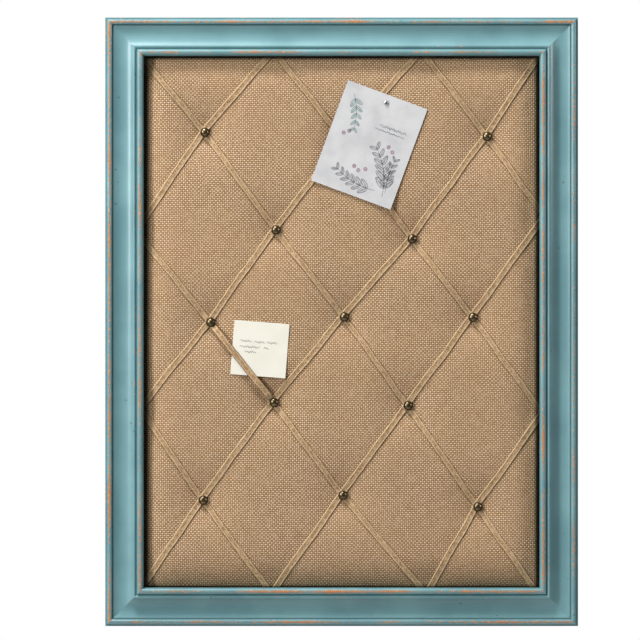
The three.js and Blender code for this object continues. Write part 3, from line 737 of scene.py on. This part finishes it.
def tufted(x, z):
    """Height of the face: a pillow rolled down at the rim, dished at nails, pressed by ribbons."""
    inset_x, inset_z = SIGHT_WIDTH / 2 - np.abs(x), SIGHT_HEIGHT / 2 - np.abs(z)
    share = eased((inset_x - LIP_INSET) / ROLL) * eased((inset_z - LIP_INSET) / ROLL)
    height = BURLAP_LIP + (BURLAP_CROWN - BURLAP_LIP) * share
    nearest = np.full(np.shape(x), np.inf)
    for nail_x, nail_z in NAILS.values():
        away = np.hypot(x - nail_x, z - nail_z) - TUFT_SEAT
        free = eased(away / (TUFT_RADIUS - TUFT_SEAT))
        height = NAIL_DISH + (height - NAIL_DISH) * free
        share = share * np.sqrt(free)
        nearest = np.minimum(nearest, away)
    near_nail = np.exp(-np.maximum(nearest, 0) / NAIL_PULL_REACH)
    for (family, _), route in RIBBONS.items():
        draw = NAIL_PULL[family] * near_nail
        valley = np.exp(-(distance_to_route(x, z, route) / RIBBON_VALLEY) ** 2)
        height = height - share * (RIBBON_PRESS + draw) * valley
        for rim_x, rim_z in (route[1], route[-2]):
            away = np.hypot(x - rim_x, z - rim_z)
            height = height - RIM_PULL * share * np.exp(-(away / RIM_PULL_REACH) ** 2)
    return height - RIM_DROP * (1 - np.clip(np.minimum(inset_x, inset_z) / RIM_ROLL, 0, 1)) ** 2


class Face:
    """Heights of the burlap's front on a grid."""

    def __init__(self, step):
        self.across = self.lines(SIGHT_WIDTH / 2, BURLAP_EDGE_X, step)
        self.up = self.lines(SIGHT_HEIGHT / 2, BURLAP_EDGE_Z, step)
        self.heights = tufted(*np.meshgrid(self.across, self.up))

    @staticmethod
    def lines(sight, edge, step):
        """Grid lines from edge to edge, closer where the face rolls down at the rim."""
        flat = sight - RIM_ROLL
        rim = np.linspace(flat, sight, 5)[1:]
        middle = np.linspace(-flat, flat, round(2 * flat / step) + 1)
        return np.concatenate(([-edge], -rim[::-1], middle, rim, [edge]))

    def at(self, x, z):
        """Height at any places, between the grid's points."""
        column = np.interp(x, self.across, np.arange(len(self.across)))
        line = np.interp(z, self.up, np.arange(len(self.up)))
        left = np.minimum(column.astype(int), len(self.across) - 2)
        low = np.minimum(line.astype(int), len(self.up) - 2)
        a, b = column - left, line - low
        below = self.heights[low, left] * (1 - a) + self.heights[low, left + 1] * a
        above = self.heights[low + 1, left] * (1 - a) + self.heights[low + 1, left + 1] * a
        return below * (1 - b) + above * b


FACE = Face(FACE_STEP)
SIDE_DEPTH = BURLAP_LIP - RIM_DROP - HEM_FLOOR


def wrap(place, edge):
    """How a flat coordinate past the panel's edge turns down its side and on to its back.

    Gives the coordinate, how far down the side it is, and how far in on the back.
    """
    beyond = abs(place) - edge
    if beyond <= 0:
        return place, 0.0, 0.0
    down = min(beyond, SIDE_DEPTH)
    back = max(0.0, beyond - SIDE_DEPTH)
    return math.copysign(edge - back, place), down, back


def burlap_lines(front):
    """Flat coordinates of the sheet's grid lines, out to the hem's raw edge."""
    edge = front[-1]
    outside = [SIDE_DEPTH * 0.5, SIDE_DEPTH]
    outside += [SIDE_DEPTH + HEM_WIDTH * (i + 1) / 6 for i in range(6)]
    return [-edge - o for o in reversed(outside)] + list(front) + [edge + o for o in outside]


def burlap_sheet(material):
    """The cover: tufted face, sides and a hem mitred at the back's corners."""
    across = burlap_lines(FACE.across)
    up = burlap_lines(FACE.up)
    face_heights = FACE.at(*np.meshgrid(across, up))
    points, flat, rim, foot, wanted = [], [], [], [], []
    for i, t in enumerate(up):
        for j, s in enumerate(across):
            x, down_x, back_x = wrap(s, BURLAP_EDGE_X)
            z, down_z, back_z = wrap(t, BURLAP_EDGE_Z)
            if back_x and not down_z:
                x = math.copysign(BURLAP_EDGE_X - min(back_x, BURLAP_EDGE_Z - abs(z)), s)
            if back_z and not down_x:
                z = math.copysign(BURLAP_EDGE_Z - min(back_z, BURLAP_EDGE_X - abs(x)), t)
            v = float(face_heights[i, j]) - max(down_x, down_z)
            points.append((x, v, z))
            flat.append((s, t))
            front = not (back_x or back_z)
            # Mask of the painted shade in the gap along the frame, none on the back
            rim.append(float(rim_shade(x, z)) * front)
            # Mask of the painted shade towards the panel's foot
            foot.append(math.exp(-(SIGHT_HEIGHT / 2 + z) / FOOT_REACH) * front)
            wanted.append(not (down_x and down_z))
    columns = len(across)
    faces = [f for f in grid_faces(len(up), columns) if all(wanted[k] for k in f)]
    used = sorted({k for f in faces for k in f})
    again = {k: n for n, k in enumerate(used)}
    faces = [tuple(again[k] for k in f) for f in faces]
    points, flat, rim, foot = ([values[k] for k in used] for values in (points, flat, rim, foot))
    piece = mesh_object("burlap_sheet", points, faces, material, flat, {"rim": rim, "foot": foot})
    dress(piece, BOARD, "burlap", "burlap_cover")


def wadding_pad(material):
    """The padding under the cover, with the same crown and dishes."""
    across = Face.lines(SIGHT_WIDTH / 2, BURLAP_EDGE_X - PAD_INSET, PAD_STEP)
    up = Face.lines(SIGHT_HEIGHT / 2, BURLAP_EDGE_Z - PAD_INSET, PAD_STEP)
    heights = np.maximum(FACE.at(*np.meshgrid(across, up)) - COVER_THICKNESS, PAD_BASE + PAD_LEAST)
    top = [(x, float(heights[i, j]), z) for i, z in enumerate(up) for j, x in enumerate(across)]
    bottom = [(x, PAD_BASE, z) for x, _, z in top]
    piece = slab("wadding_pad", top, bottom, len(across), material)
    dress(piece, BOARD, "wadding", "panel_padding")


# Ribbons
def ribbon_end(outer, inner):
    """Where a ribbon leaves the panel's face, and whether over a side or an end."""
    run = outer - inner
    to_side = (math.copysign(RIBBON_EDGE_X, run.x) - inner.x) / run.x
    to_end = (math.copysign(RIBBON_EDGE_Z, run.y) - inner.y) / run.y
    share = min(to_side, to_end)
    return inner + run * share, "side" if to_side < to_end else "end"


def tape_rise(offset):
    """Height across a tape: a ridge along each selvedge, then a turn down at the edge."""
    ridge = SELVEDGE_HEIGHT * math.exp(-((abs(offset) - SELVEDGE_PLACE) / SELVEDGE_WIDTH) ** 2)
    return ridge - EDGE_DROP * max(0.0, (abs(offset) - EDGE_PLACE) / EDGE_WIDTH) ** 2


def ribbon_climb(name, centre, layer):
    """How far a ribbon stands off the burlap, over another one or the note; nails press it flat."""
    near = min((Vector(place) - centre).length for place in NAILS.values())
    climb = layer * (RIBBON_THICKNESS + RIBBON_LAYER) * max(0.0, 1 - (near / CROSSING_REACH) ** 2)
    if name == NOTE_RIBBON:
        beyond = max(0.0, (Vector(NOTE_TUCK) - centre).length - NOTE_SPAN)
        taut = NOTE_SEAT + NOTE_CLEARANCE - NOTE_RIBBON_SLOPE * beyond
        climb = max(climb, taut - float(FACE.at(centre.x, centre.y)) - RIBBON_LIFT)
    return climb * (1 - math.exp(-(near / NAIL_PRESS) ** 4))


def over_edge(place, other, edge, other_edge, height):
    """A tape's place across the edge that it turns over, and along that edge."""
    place, down, back = wrap(place, edge)
    if down and not back:
        place += math.copysign(height, place)
    return place, max(-other_edge, min(other_edge, other)), down, back


def ribbon_strip(family, number, layer, material):
    """A tape laid over the burlap and turned over the panel's edges, with its own part of the weave."""
    name = f"ribbon_{family}_{number}"
    route = RIBBONS[family, number]
    start, start_over = ribbon_end(route[0], route[2])
    finish, finish_over = ribbon_end(route[-1], route[-3])
    path = [start] + route[2:-2] + [finish]
    knots = [0.0]
    for a, b in zip(path, path[1:]):
        knots.append(knots[-1] + (b - a).length)
    length = knots[-1]
    tail = SIDE_DEPTH + RIBBON_TURN_OVER
    stations = np.linspace(-tail, length + tail, round((length + 2 * tail) / RIBBON_STEP))
    seed = Vector((number * 7.4, layer * 11.3, 0))
    weave_start = 20 * number + 200 * layer
    bottom, top, flat, edge, rim = [], [], [], [], []
    for station in stations:
        inside = min(max(station, 0.0), length)
        part = max(i for i in range(len(path) - 1) if knots[i] <= inside + 1e-9)
        along = (path[part + 1] - path[part]).normalized()
        centre = path[part] + along * (station - knots[part])
        wander = ASIDE[family] + noise.noise(seed + Vector((station * 0.03, 0, 0))) * RIBBON_WANDER
        ragged = noise.noise(seed + Vector((station * 0.19, 5, 0))) * RIBBON_RAGGED
        over = start_over if station < 0 else finish_over
        base = RIBBON_LIFT + ribbon_climb(name, centre, layer)
        for offset in TAPE_LINES:
            flat_x, flat_z = centre + Vector((-along.y, along.x)) * (offset * (1 + ragged) + wander)
            for points, height in ((bottom, base), (top, base + RIBBON_THICKNESS + tape_rise(offset))):
                if over == "side":
                    x, z, down, back = over_edge(flat_x, flat_z, RIBBON_EDGE_X, RIBBON_EDGE_Z, height)
                else:
                    z, x, down, back = over_edge(flat_z, flat_x, RIBBON_EDGE_Z, RIBBON_EDGE_X, height)
                if back:
                    v = HEM_FLOOR - height - layer * RIBBON_BACK_LAYER
                else:
                    v = float(FACE.at(x, z)) + height - down
                points.append((x, v, z))
            flat.append((offset + weave_start, station))
            # The rising ribbons' lit edge gets less of the painted edge shade
            rising_lit_edge = layer and offset > 0
            edge.append(abs(offset) / (RIBBON_WIDTH / 2) * (LIT_EDGE_SHARE if rising_lit_edge else 1.0))
            # Mask of the painted shade in the gap along the frame
            rim.append(0.0 if back else float(rim_shade(x, z)))
    masks = {"edge": edge, "rim": rim}
    piece = slab(f"tape_{family}_{number}", top, bottom, len(TAPE_LINES), material, flat, masks)
    dress(piece, BOARD, "jute_ribbon", name)


# Turned metal
def turned(name, profile, centre, material, sides=40, tilt=(0.0, 0.0)):
    """A smooth turned piece on a profile of (radius, height) pairs, tip first.

    Its mask goes from 0 at the widest ring to 1 on the axis; brass is worn bright on the crown, and dark
    at the rim with patina and painted shade.
    """
    widest = max(radius for radius, _ in profile)
    points, crown_rub_and_rim_shade = [], []
    for radius, height in profile:
        crown_rub_and_rim_shade += [1 - (radius / widest) ** 2] * sides
        for x, z in arc((0, 0), radius, 0, 360, sides)[:-1]:
            lean = x * tilt[0] + z * tilt[1]
            points.append((centre[0] + x, height + lean, centre[1] + z))
    faces = tube_faces(len(profile), sides)
    return mesh_object(name, points, faces, material, masks={"crown_rub_and_rim_shade": crown_rub_and_rim_shade}, closed=True)


def dome(radius, base, height, steps=12):
    """(radius, height) pairs from a rim to nearly the axis."""
    pairs = []
    for step in range(steps):
        angle = step / steps * math.pi / 2
        pairs.append((radius * math.cos(angle), base + height * math.sin(angle)))
    return pairs + [(0.05, base + height)]


def upholstery_nail(name, centre, chooser, material):
    """Hollow dome on a shank, driven very slightly out of true."""
    rim = NAIL_SEAT
    profile = [
        (POINT_RADIUS, NAIL_TIP),
        (NAIL_SHANK_RADIUS, NAIL_TIP + POINT_LENGTH),
        (NAIL_SHANK_RADIUS, rim + NAIL_HEAD_HEIGHT - 1.0),
    ]
    inside = dome(NAIL_HEAD_RADIUS - NAIL_WALL, rim, NAIL_HEAD_HEIGHT - NAIL_CROWN_WALL, 6)[:5]
    profile += reversed(inside)
    profile += [(NAIL_HEAD_RADIUS - 0.2, rim - 0.15), (NAIL_HEAD_RADIUS, rim + 0.1)]
    profile += dome(NAIL_HEAD_RADIUS - 0.05, rim + 0.25, NAIL_HEAD_HEIGHT - 0.25)
    tilt = (chooser.uniform(-0.03, 0.03), chooser.uniform(-0.03, 0.03))
    piece = turned(f"dome_{name}", profile, centre, material, tilt=tilt)
    dress(piece, BOARD, "antique_brass", name)


# Paper
class Leaf:
    """Paper with its own flat places, in millimetres, and where they lie on the board."""

    def __init__(self, centre, tilt, seat, curl):
        self.centre = centre
        self.cos, self.sin = math.cos(tilt), math.sin(tilt)
        self.seat = seat
        self.curl = curl

    def place(self, across, up, lift=0.0):
        x = self.centre[0] + across * self.cos + up * self.sin
        z = self.centre[1] - across * self.sin + up * self.cos
        return (x, self.seat + self.curl(across, up) + lift, z)

    def sheet(self, name, left, right, low, high, thickness, material):
        """The paper itself, with both faces and its edges."""
        across = np.linspace(left, right, 25)
        up = np.linspace(low, high, 31)
        top = [self.place(a, b, thickness) for b in up for a in across]
        bottom = [self.place(a, b) for b in up for a in across]
        return slab(name, top, bottom, len(across), material)

    def washes(self, name, outlines, lift, material):
        """Flat washes of colour, each inside a closed line of (across, up) places."""
        points, faces = [], []
        for outline in outlines:
            faces.append(tuple(range(len(points), len(points) + len(outline) - 1)))
            points += [self.place(a, b, lift) for a, b in outline[:-1]]
        return mesh_object(name, points, faces, material)

    def strokes(self, name, lines, width, lift, material):
        """Pen lines as flat strips on the paper, each a list of (across, up) places."""
        points, faces = [], []
        for line in lines:
            first = len(points)
            for i, (a, b) in enumerate(line):
                before, after = line[max(i - 1, 0)], line[min(i + 1, len(line) - 1)]
                run = Vector((after[0] - before[0], after[1] - before[1]))
                run = run.normalized() if run.length else Vector((1, 0))
                taper = width / 2 * (0.55 + 0.45 * math.sin(math.pi * i / (len(line) - 1)))
                points.append(self.place(a - run.y * taper, b + run.x * taper, lift))
                points.append(self.place(a + run.y * taper, b - run.x * taper, lift))
            for i in range(len(line) - 1):
                k = first + 2 * i
                faces.append((k, k + 1, k + 3, k + 2))
        return mesh_object(name, points, faces, material)


def scribble(left, right, level, height, chooser):
    """A wavering pen line that stands for writing and spells nothing."""
    line = []
    count = int((right - left) / 0.35)
    phase = chooser.uniform(0, 6)
    for i in range(count + 1):
        along = i / count * (right - left)
        swing = math.sin(phase + along * 2.3) + 0.5 * math.sin(along * 0.9)
        line.append((left + along, level + height * swing / 2))
    return line


def memo_note(paper_material, pen):
    """Cream note with its lower corner under a ribbon and a few pen lines."""
    def curl(across, up):
        return NOTE_CURL * max(0.0, (across + up) / NOTE_HEIGHT) ** 2

    leaf = Leaf(NOTE_CENTRE, NOTE_TILT, NOTE_SEAT, curl)
    side, end = NOTE_WIDTH / 2, NOTE_HEIGHT / 2
    note = leaf.sheet("note_sheet", -side, side, -end, end, NOTE_THICKNESS, paper_material)
    dress(note, "memo_note", "note_paper", "memo_note")
    chooser = random.Random(5)
    words = ((-23, -9, 8), (-7, 5, 7.6), (7, 19, 7.8), (-23, 0, 1.6), (4, 10, 1.4), (-17, -4, -4))
    lines = [scribble(left, right, level, 1.7, chooser) for left, right, level in words]
    marks = leaf.strokes("note_pen_lines", lines, 0.5, NOTE_INK_LIFT, pen)
    dress(marks, "memo_note", "note_paper")


def sprig(start, end, bend, leaves, size):
    """Stem with paired pointed leaves: all its pen lines, and the leaves' closed outlines."""
    a, b = Vector(start), Vector(end)
    side = Vector((-(b - a).y, (b - a).x)).normalized()
    middle = (a + b) / 2 + side * bend

    def on_stem(share):
        return a * (1 - share) ** 2 + middle * 2 * share * (1 - share) + b * share ** 2

    lines = [[tuple(on_stem(i / 24)) for i in range(25)]]
    outlines = []
    for n in range(leaves):
        share = 0.18 + 0.8 * n / (leaves - 1)
        root = on_stem(share)
        ahead = (on_stem(min(1, share + 0.02)) - on_stem(share - 0.02)).normalized()
        for hand in (-1, 1):
            axis = ahead.copy()
            axis.rotate(Matrix.Rotation(math.radians(42) * hand, 2))
            wide = Vector((-axis.y, axis.x))
            long = size * (1 - 0.45 * share)
            outline = []
            for i in range(21):
                turn = 2 * math.pi * i / 20
                reach = (1 - math.cos(turn)) / 2
                spread = math.sin(turn) * 0.24 * (1 - 0.35 * reach)
                outline.append(tuple(root + axis * long * reach + wide * long * spread))
            outlines.append(outline)
            lines.append([tuple(root + axis * long * 0.9 * i / 6) for i in range(7)])
    return lines + outlines, outlines


def pinned_card(paper_material, pens, washes):
    """Pale card askew on its pin, with leaf sprigs and berries in pen line and wash."""
    def curl(across, up):
        low = max(0.0, (-up - CARD_FOOT_CURL_FROM) / (-foot - CARD_FOOT_CURL_FROM))
        return CARD_FOOT_CURL * low ** 2 + CARD_SIDE_CURL * (across / (CARD_WIDTH / 2)) ** 2

    foot = PIN_BELOW_CARD_TOP - CARD_HEIGHT
    left = -CARD_WIDTH / 2 - PIN_OFF_CARD_CENTRE
    right = left + CARD_WIDTH
    leaf = Leaf(PIN, CARD_TILT, CARD_SEAT, curl)
    top = PIN_BELOW_CARD_TOP
    card = leaf.sheet("card_sheet", left, right, foot, top, CARD_THICKNESS, paper_material)
    dress(card, "pinned_card", "card_paper", "pinned_card")
    grey_lines, grey_leaves = [], []
    for stem in (
        ((32, -101), (8, -52), -10, 6, 16),
        ((22, -97), (-26, -88), 8, 6, 13),
        ((34, -96), (32, -58), 4, 5, 11),
    ):
        lines, leaves = sprig(*stem)
        grey_lines += lines
        grey_leaves += leaves
    teal_lines, teal_leaves = sprig((-38, -2), (-24, -40), 6, 5, 11)
    chooser = random.Random(8)
    words = [scribble(2, 34, -26, 2.2, chooser), scribble(-2, 33, -31, 1.2, chooser)]
    berries = [
        arc(centre, 1.9, 0, 360, 16)
        for centre in ((-3, -82), (4, -78), (-9, -79), (20, -46), (26, -50), (-28, -44), (-33, -48))
    ]
    painted = {"grey": grey_leaves, "teal": teal_leaves, "mauve": berries}
    for tone, outlines in painted.items():
        wash = leaf.washes(f"card_wash_{tone}", outlines, CARD_WASH_LIFT, washes[tone])
        dress(wash, "pinned_card", "card_paper")
    drawn = {"grey": (grey_lines + words, 0.6), "teal": (teal_lines, 0.5), "mauve": (berries, 0.7)}
    for tone, (lines, width) in drawn.items():
        pen_lines = leaf.strokes(f"card_lines_{tone}", lines, width, CARD_INK_LIFT, pens[tone])
        dress(pen_lines, "pinned_card", "card_paper")


def card_pin(material):
    """Round-headed steel pin."""
    profile = [
        (POINT_RADIUS, NAIL_TIP),
        (PIN_NEEDLE_RADIUS, NAIL_TIP + POINT_LENGTH),
        (PIN_NEEDLE_RADIUS, PIN_SEAT),
        (PIN_HEAD_RADIUS - 0.3, PIN_SEAT),
        (PIN_HEAD_RADIUS, PIN_SEAT + 0.25),
    ]
    profile += dome(PIN_HEAD_RADIUS - 0.05, PIN_SEAT + 0.4, 1.4, 8)
    piece = turned("steel_pin", profile, PIN, material, sides=28)
    dress(piece, "card_pin", "plated_steel", "card_pin")


# Back of the panel
def hem_staples(material):
    """Staples that hold the hem to the board along all four sides, each a low bar."""
    points, faces = [], []
    chooser = random.Random(11)
    box_faces = ((0, 1, 2, 3), (4, 7, 6, 5), (0, 4, 5, 1), (1, 5, 6, 2), (2, 6, 7, 3), (3, 7, 4, 0))

    def add(x, z, along):
        first = len(points)
        lean = Vector(along)
        lean.rotate(Matrix.Rotation(chooser.uniform(-0.2, 0.2), 2))
        side = Vector((-lean.y, lean.x))
        for v in (HEM_FLOOR - STAPLE_CROWN, HEM_FLOOR - STAPLE_SINK):
            for a, b in ((-1, -1), (1, -1), (1, 1), (-1, 1)):
                flat = Vector((x, z)) + lean * (a * STAPLE_LENGTH / 2) + side * (b * STAPLE_WIDTH / 2)
                points.append((flat.x, v, flat.y))
        faces.extend(tuple(first + k for k in f) for f in box_faces)

    for sign in (-1, 1):
        for step in range(-3, 4):
            z = sign * (BURLAP_EDGE_Z - STAPLE_INSET + chooser.uniform(-2, 2))
            add(step * STAPLE_PITCH_X + STAPLE_OFFSET_X, z, (1, 0))
        for step in range(-4, 5):
            x = sign * (BURLAP_EDGE_X - STAPLE_INSET + chooser.uniform(-2, 2))
            add(x, step * STAPLE_PITCH_Z + STAPLE_OFFSET_Z, (0, 1))
    piece = mesh_object("hem_staples", points, faces, material, closed=True)
    soften(piece, 0.25)
    dress(piece, BOARD, "plated_steel")


def dress_hardware(steel, board_material):
    """Materials of the solids that keep their own shape."""
    looks = {"v_nail": steel, "framers_point": steel, "hanger": steel, "panel_board": board_material}
    for name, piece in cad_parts.items():
        for prefix, material in looks.items():
            if name.startswith(prefix):
                piece.data.materials.clear()
                piece.data.materials.append(material)


# Studio
def studio_world(ambient):
    """White where the camera sees past the board, and dim even light all round."""
    world = bpy.data.worlds.new("studio_white")
    world.use_nodes = True
    bpy.context.scene.world = world
    tree = world.node_tree
    new, link = tree.nodes.new, tree.links.new
    seen = tree.nodes["Background"]
    seen.inputs["Color"].default_value = (1, 1, 1, 1)
    around = new("ShaderNodeBackground")
    around.inputs["Color"].default_value = (1, 1, 1, 1)
    around.inputs["Strength"].default_value = ambient
    path = new("ShaderNodeLightPath")
    choose = new("ShaderNodeMixShader")
    link(path.outputs["Is Camera Ray"], choose.inputs[0])
    link(around.outputs[0], choose.inputs[1])
    link(seen.outputs[0], choose.inputs[2])
    link(choose.outputs[0], tree.nodes["World Output"].inputs["Surface"])


def studio_floor(level, reach):
    """Pale round floor well below the hanging board."""
    s = Surface("pale_floor", roughness=0.9)
    s.paint(s.mix(s.noise(s.place(), 3, 2), colour(240, 240, 239), colour(248, 248, 247)))
    s.shader.inputs["Emission Color"].default_value = (1, 1, 1, 1)
    s.shader.inputs["Emission Strength"].default_value = 0.12
    points = [(x, y, level) for x, y in arc((0, 0), reach, 0, 360, 96)[:-1]]
    mesh = bpy.data.meshes.new("studio_floor")
    mesh.from_pydata(points, [], [tuple(range(len(points)))])
    mesh.materials.append(s.material)
    put("studio_floor", mesh)


def studio():
    """A strip on the left and a softbox above rake the tufts; two weaker lights fill in."""
    bpy.context.scene.view_settings.view_transform = "Standard"
    studio_world(ambient=0.05)
    aim = Vector((0, -0.02, -0.19))
    lights = {
        "left_strip": ((-0.76, -0.56, 0.30), 3.4, (0.5, 2.0), 85),
        "top_softbox": ((-0.30, -0.30, 0.90), 3.2, (0.8, 1.0), 111),
        "fill_softbox": ((0.92, -0.30, 0.25), 2.6, (0.6, 0.6), 19),
        "back_softbox": ((-0.45, 0.75, 0.48), 3.4, (1.2, 1.2), 60),
    }
    for name, (direction, distance, size, power) in lights.items():
        lamp = bpy.data.lights.new(name, "AREA")
        lamp.shape = "RECTANGLE"
        lamp.size, lamp.size_y = size
        lamp.energy = power
        made = put(name, lamp)
        made.location = aim + Vector(direction) * distance
        made.rotation_euler = (-Vector(direction)).to_track_quat("-Z", "Y").to_euler()
    studio_floor(level=-2.4, reach=3.2)


def camera():
    """Square on to the board, which fills as much of the view as in the photograph."""
    lens = bpy.data.cameras.new("camera")
    distance = 6.0
    view_width = 0.719
    aside, level = -0.0243, -0.192
    lens.lens = lens.sensor_width * distance / view_width
    lens.clip_end = 40
    made = put("camera", lens)
    made.location = (aside, -distance - LEDGE_TOP * MM, level)
    made.rotation_euler = (math.radians(90), 0, 0)
    bpy.context.scene.camera = made


camera()
studio()

paint = distressed_paint()
for node_name in ("top_rail", "right_stile", "bottom_rail", "left_stile"):
    frame_member(node_name, node_name.split("_")[0], paint)

wadding_pad(wadding_white())
burlap_sheet(burlap_weave())
tape = jute_tape()
for family, number in RIBBONS:
    ribbon_strip(family, number, int(family == "rising"), tape)

brass = antique_brass()
nail_chooser = random.Random(3)
for node_name, nail_centre in NAILS.items():
    upholstery_nail(node_name, nail_centre, nail_chooser, brass)

steel = plated_steel()
memo_note(
    paper("note_cream", colour(246, 243, 229), colour(240, 235, 218)),
    ink("pen_grey", colour(78, 74, 70), colour(118, 112, 104)),
)
pinned_card(
    paper("card_grey", colour(216, 216, 217), colour(192, 192, 194)),
    {
        "grey": ink("line_grey", colour(82, 84, 88), colour(118, 120, 124)),
        "teal": ink("line_teal", colour(74, 104, 108), colour(112, 140, 142)),
        "mauve": ink("line_mauve", colour(124, 96, 112), colour(156, 132, 146)),
    },
    {
        "grey": ink("wash_grey", colour(176, 174, 178), colour(206, 204, 206)),
        "teal": ink("wash_teal", colour(178, 190, 188), colour(206, 214, 212)),
        "mauve": ink("wash_mauve", colour(166, 144, 158), colour(188, 170, 180)),
    },
)
card_pin(steel)
hem_staples(steel)
dress_hardware(steel, hardboard())
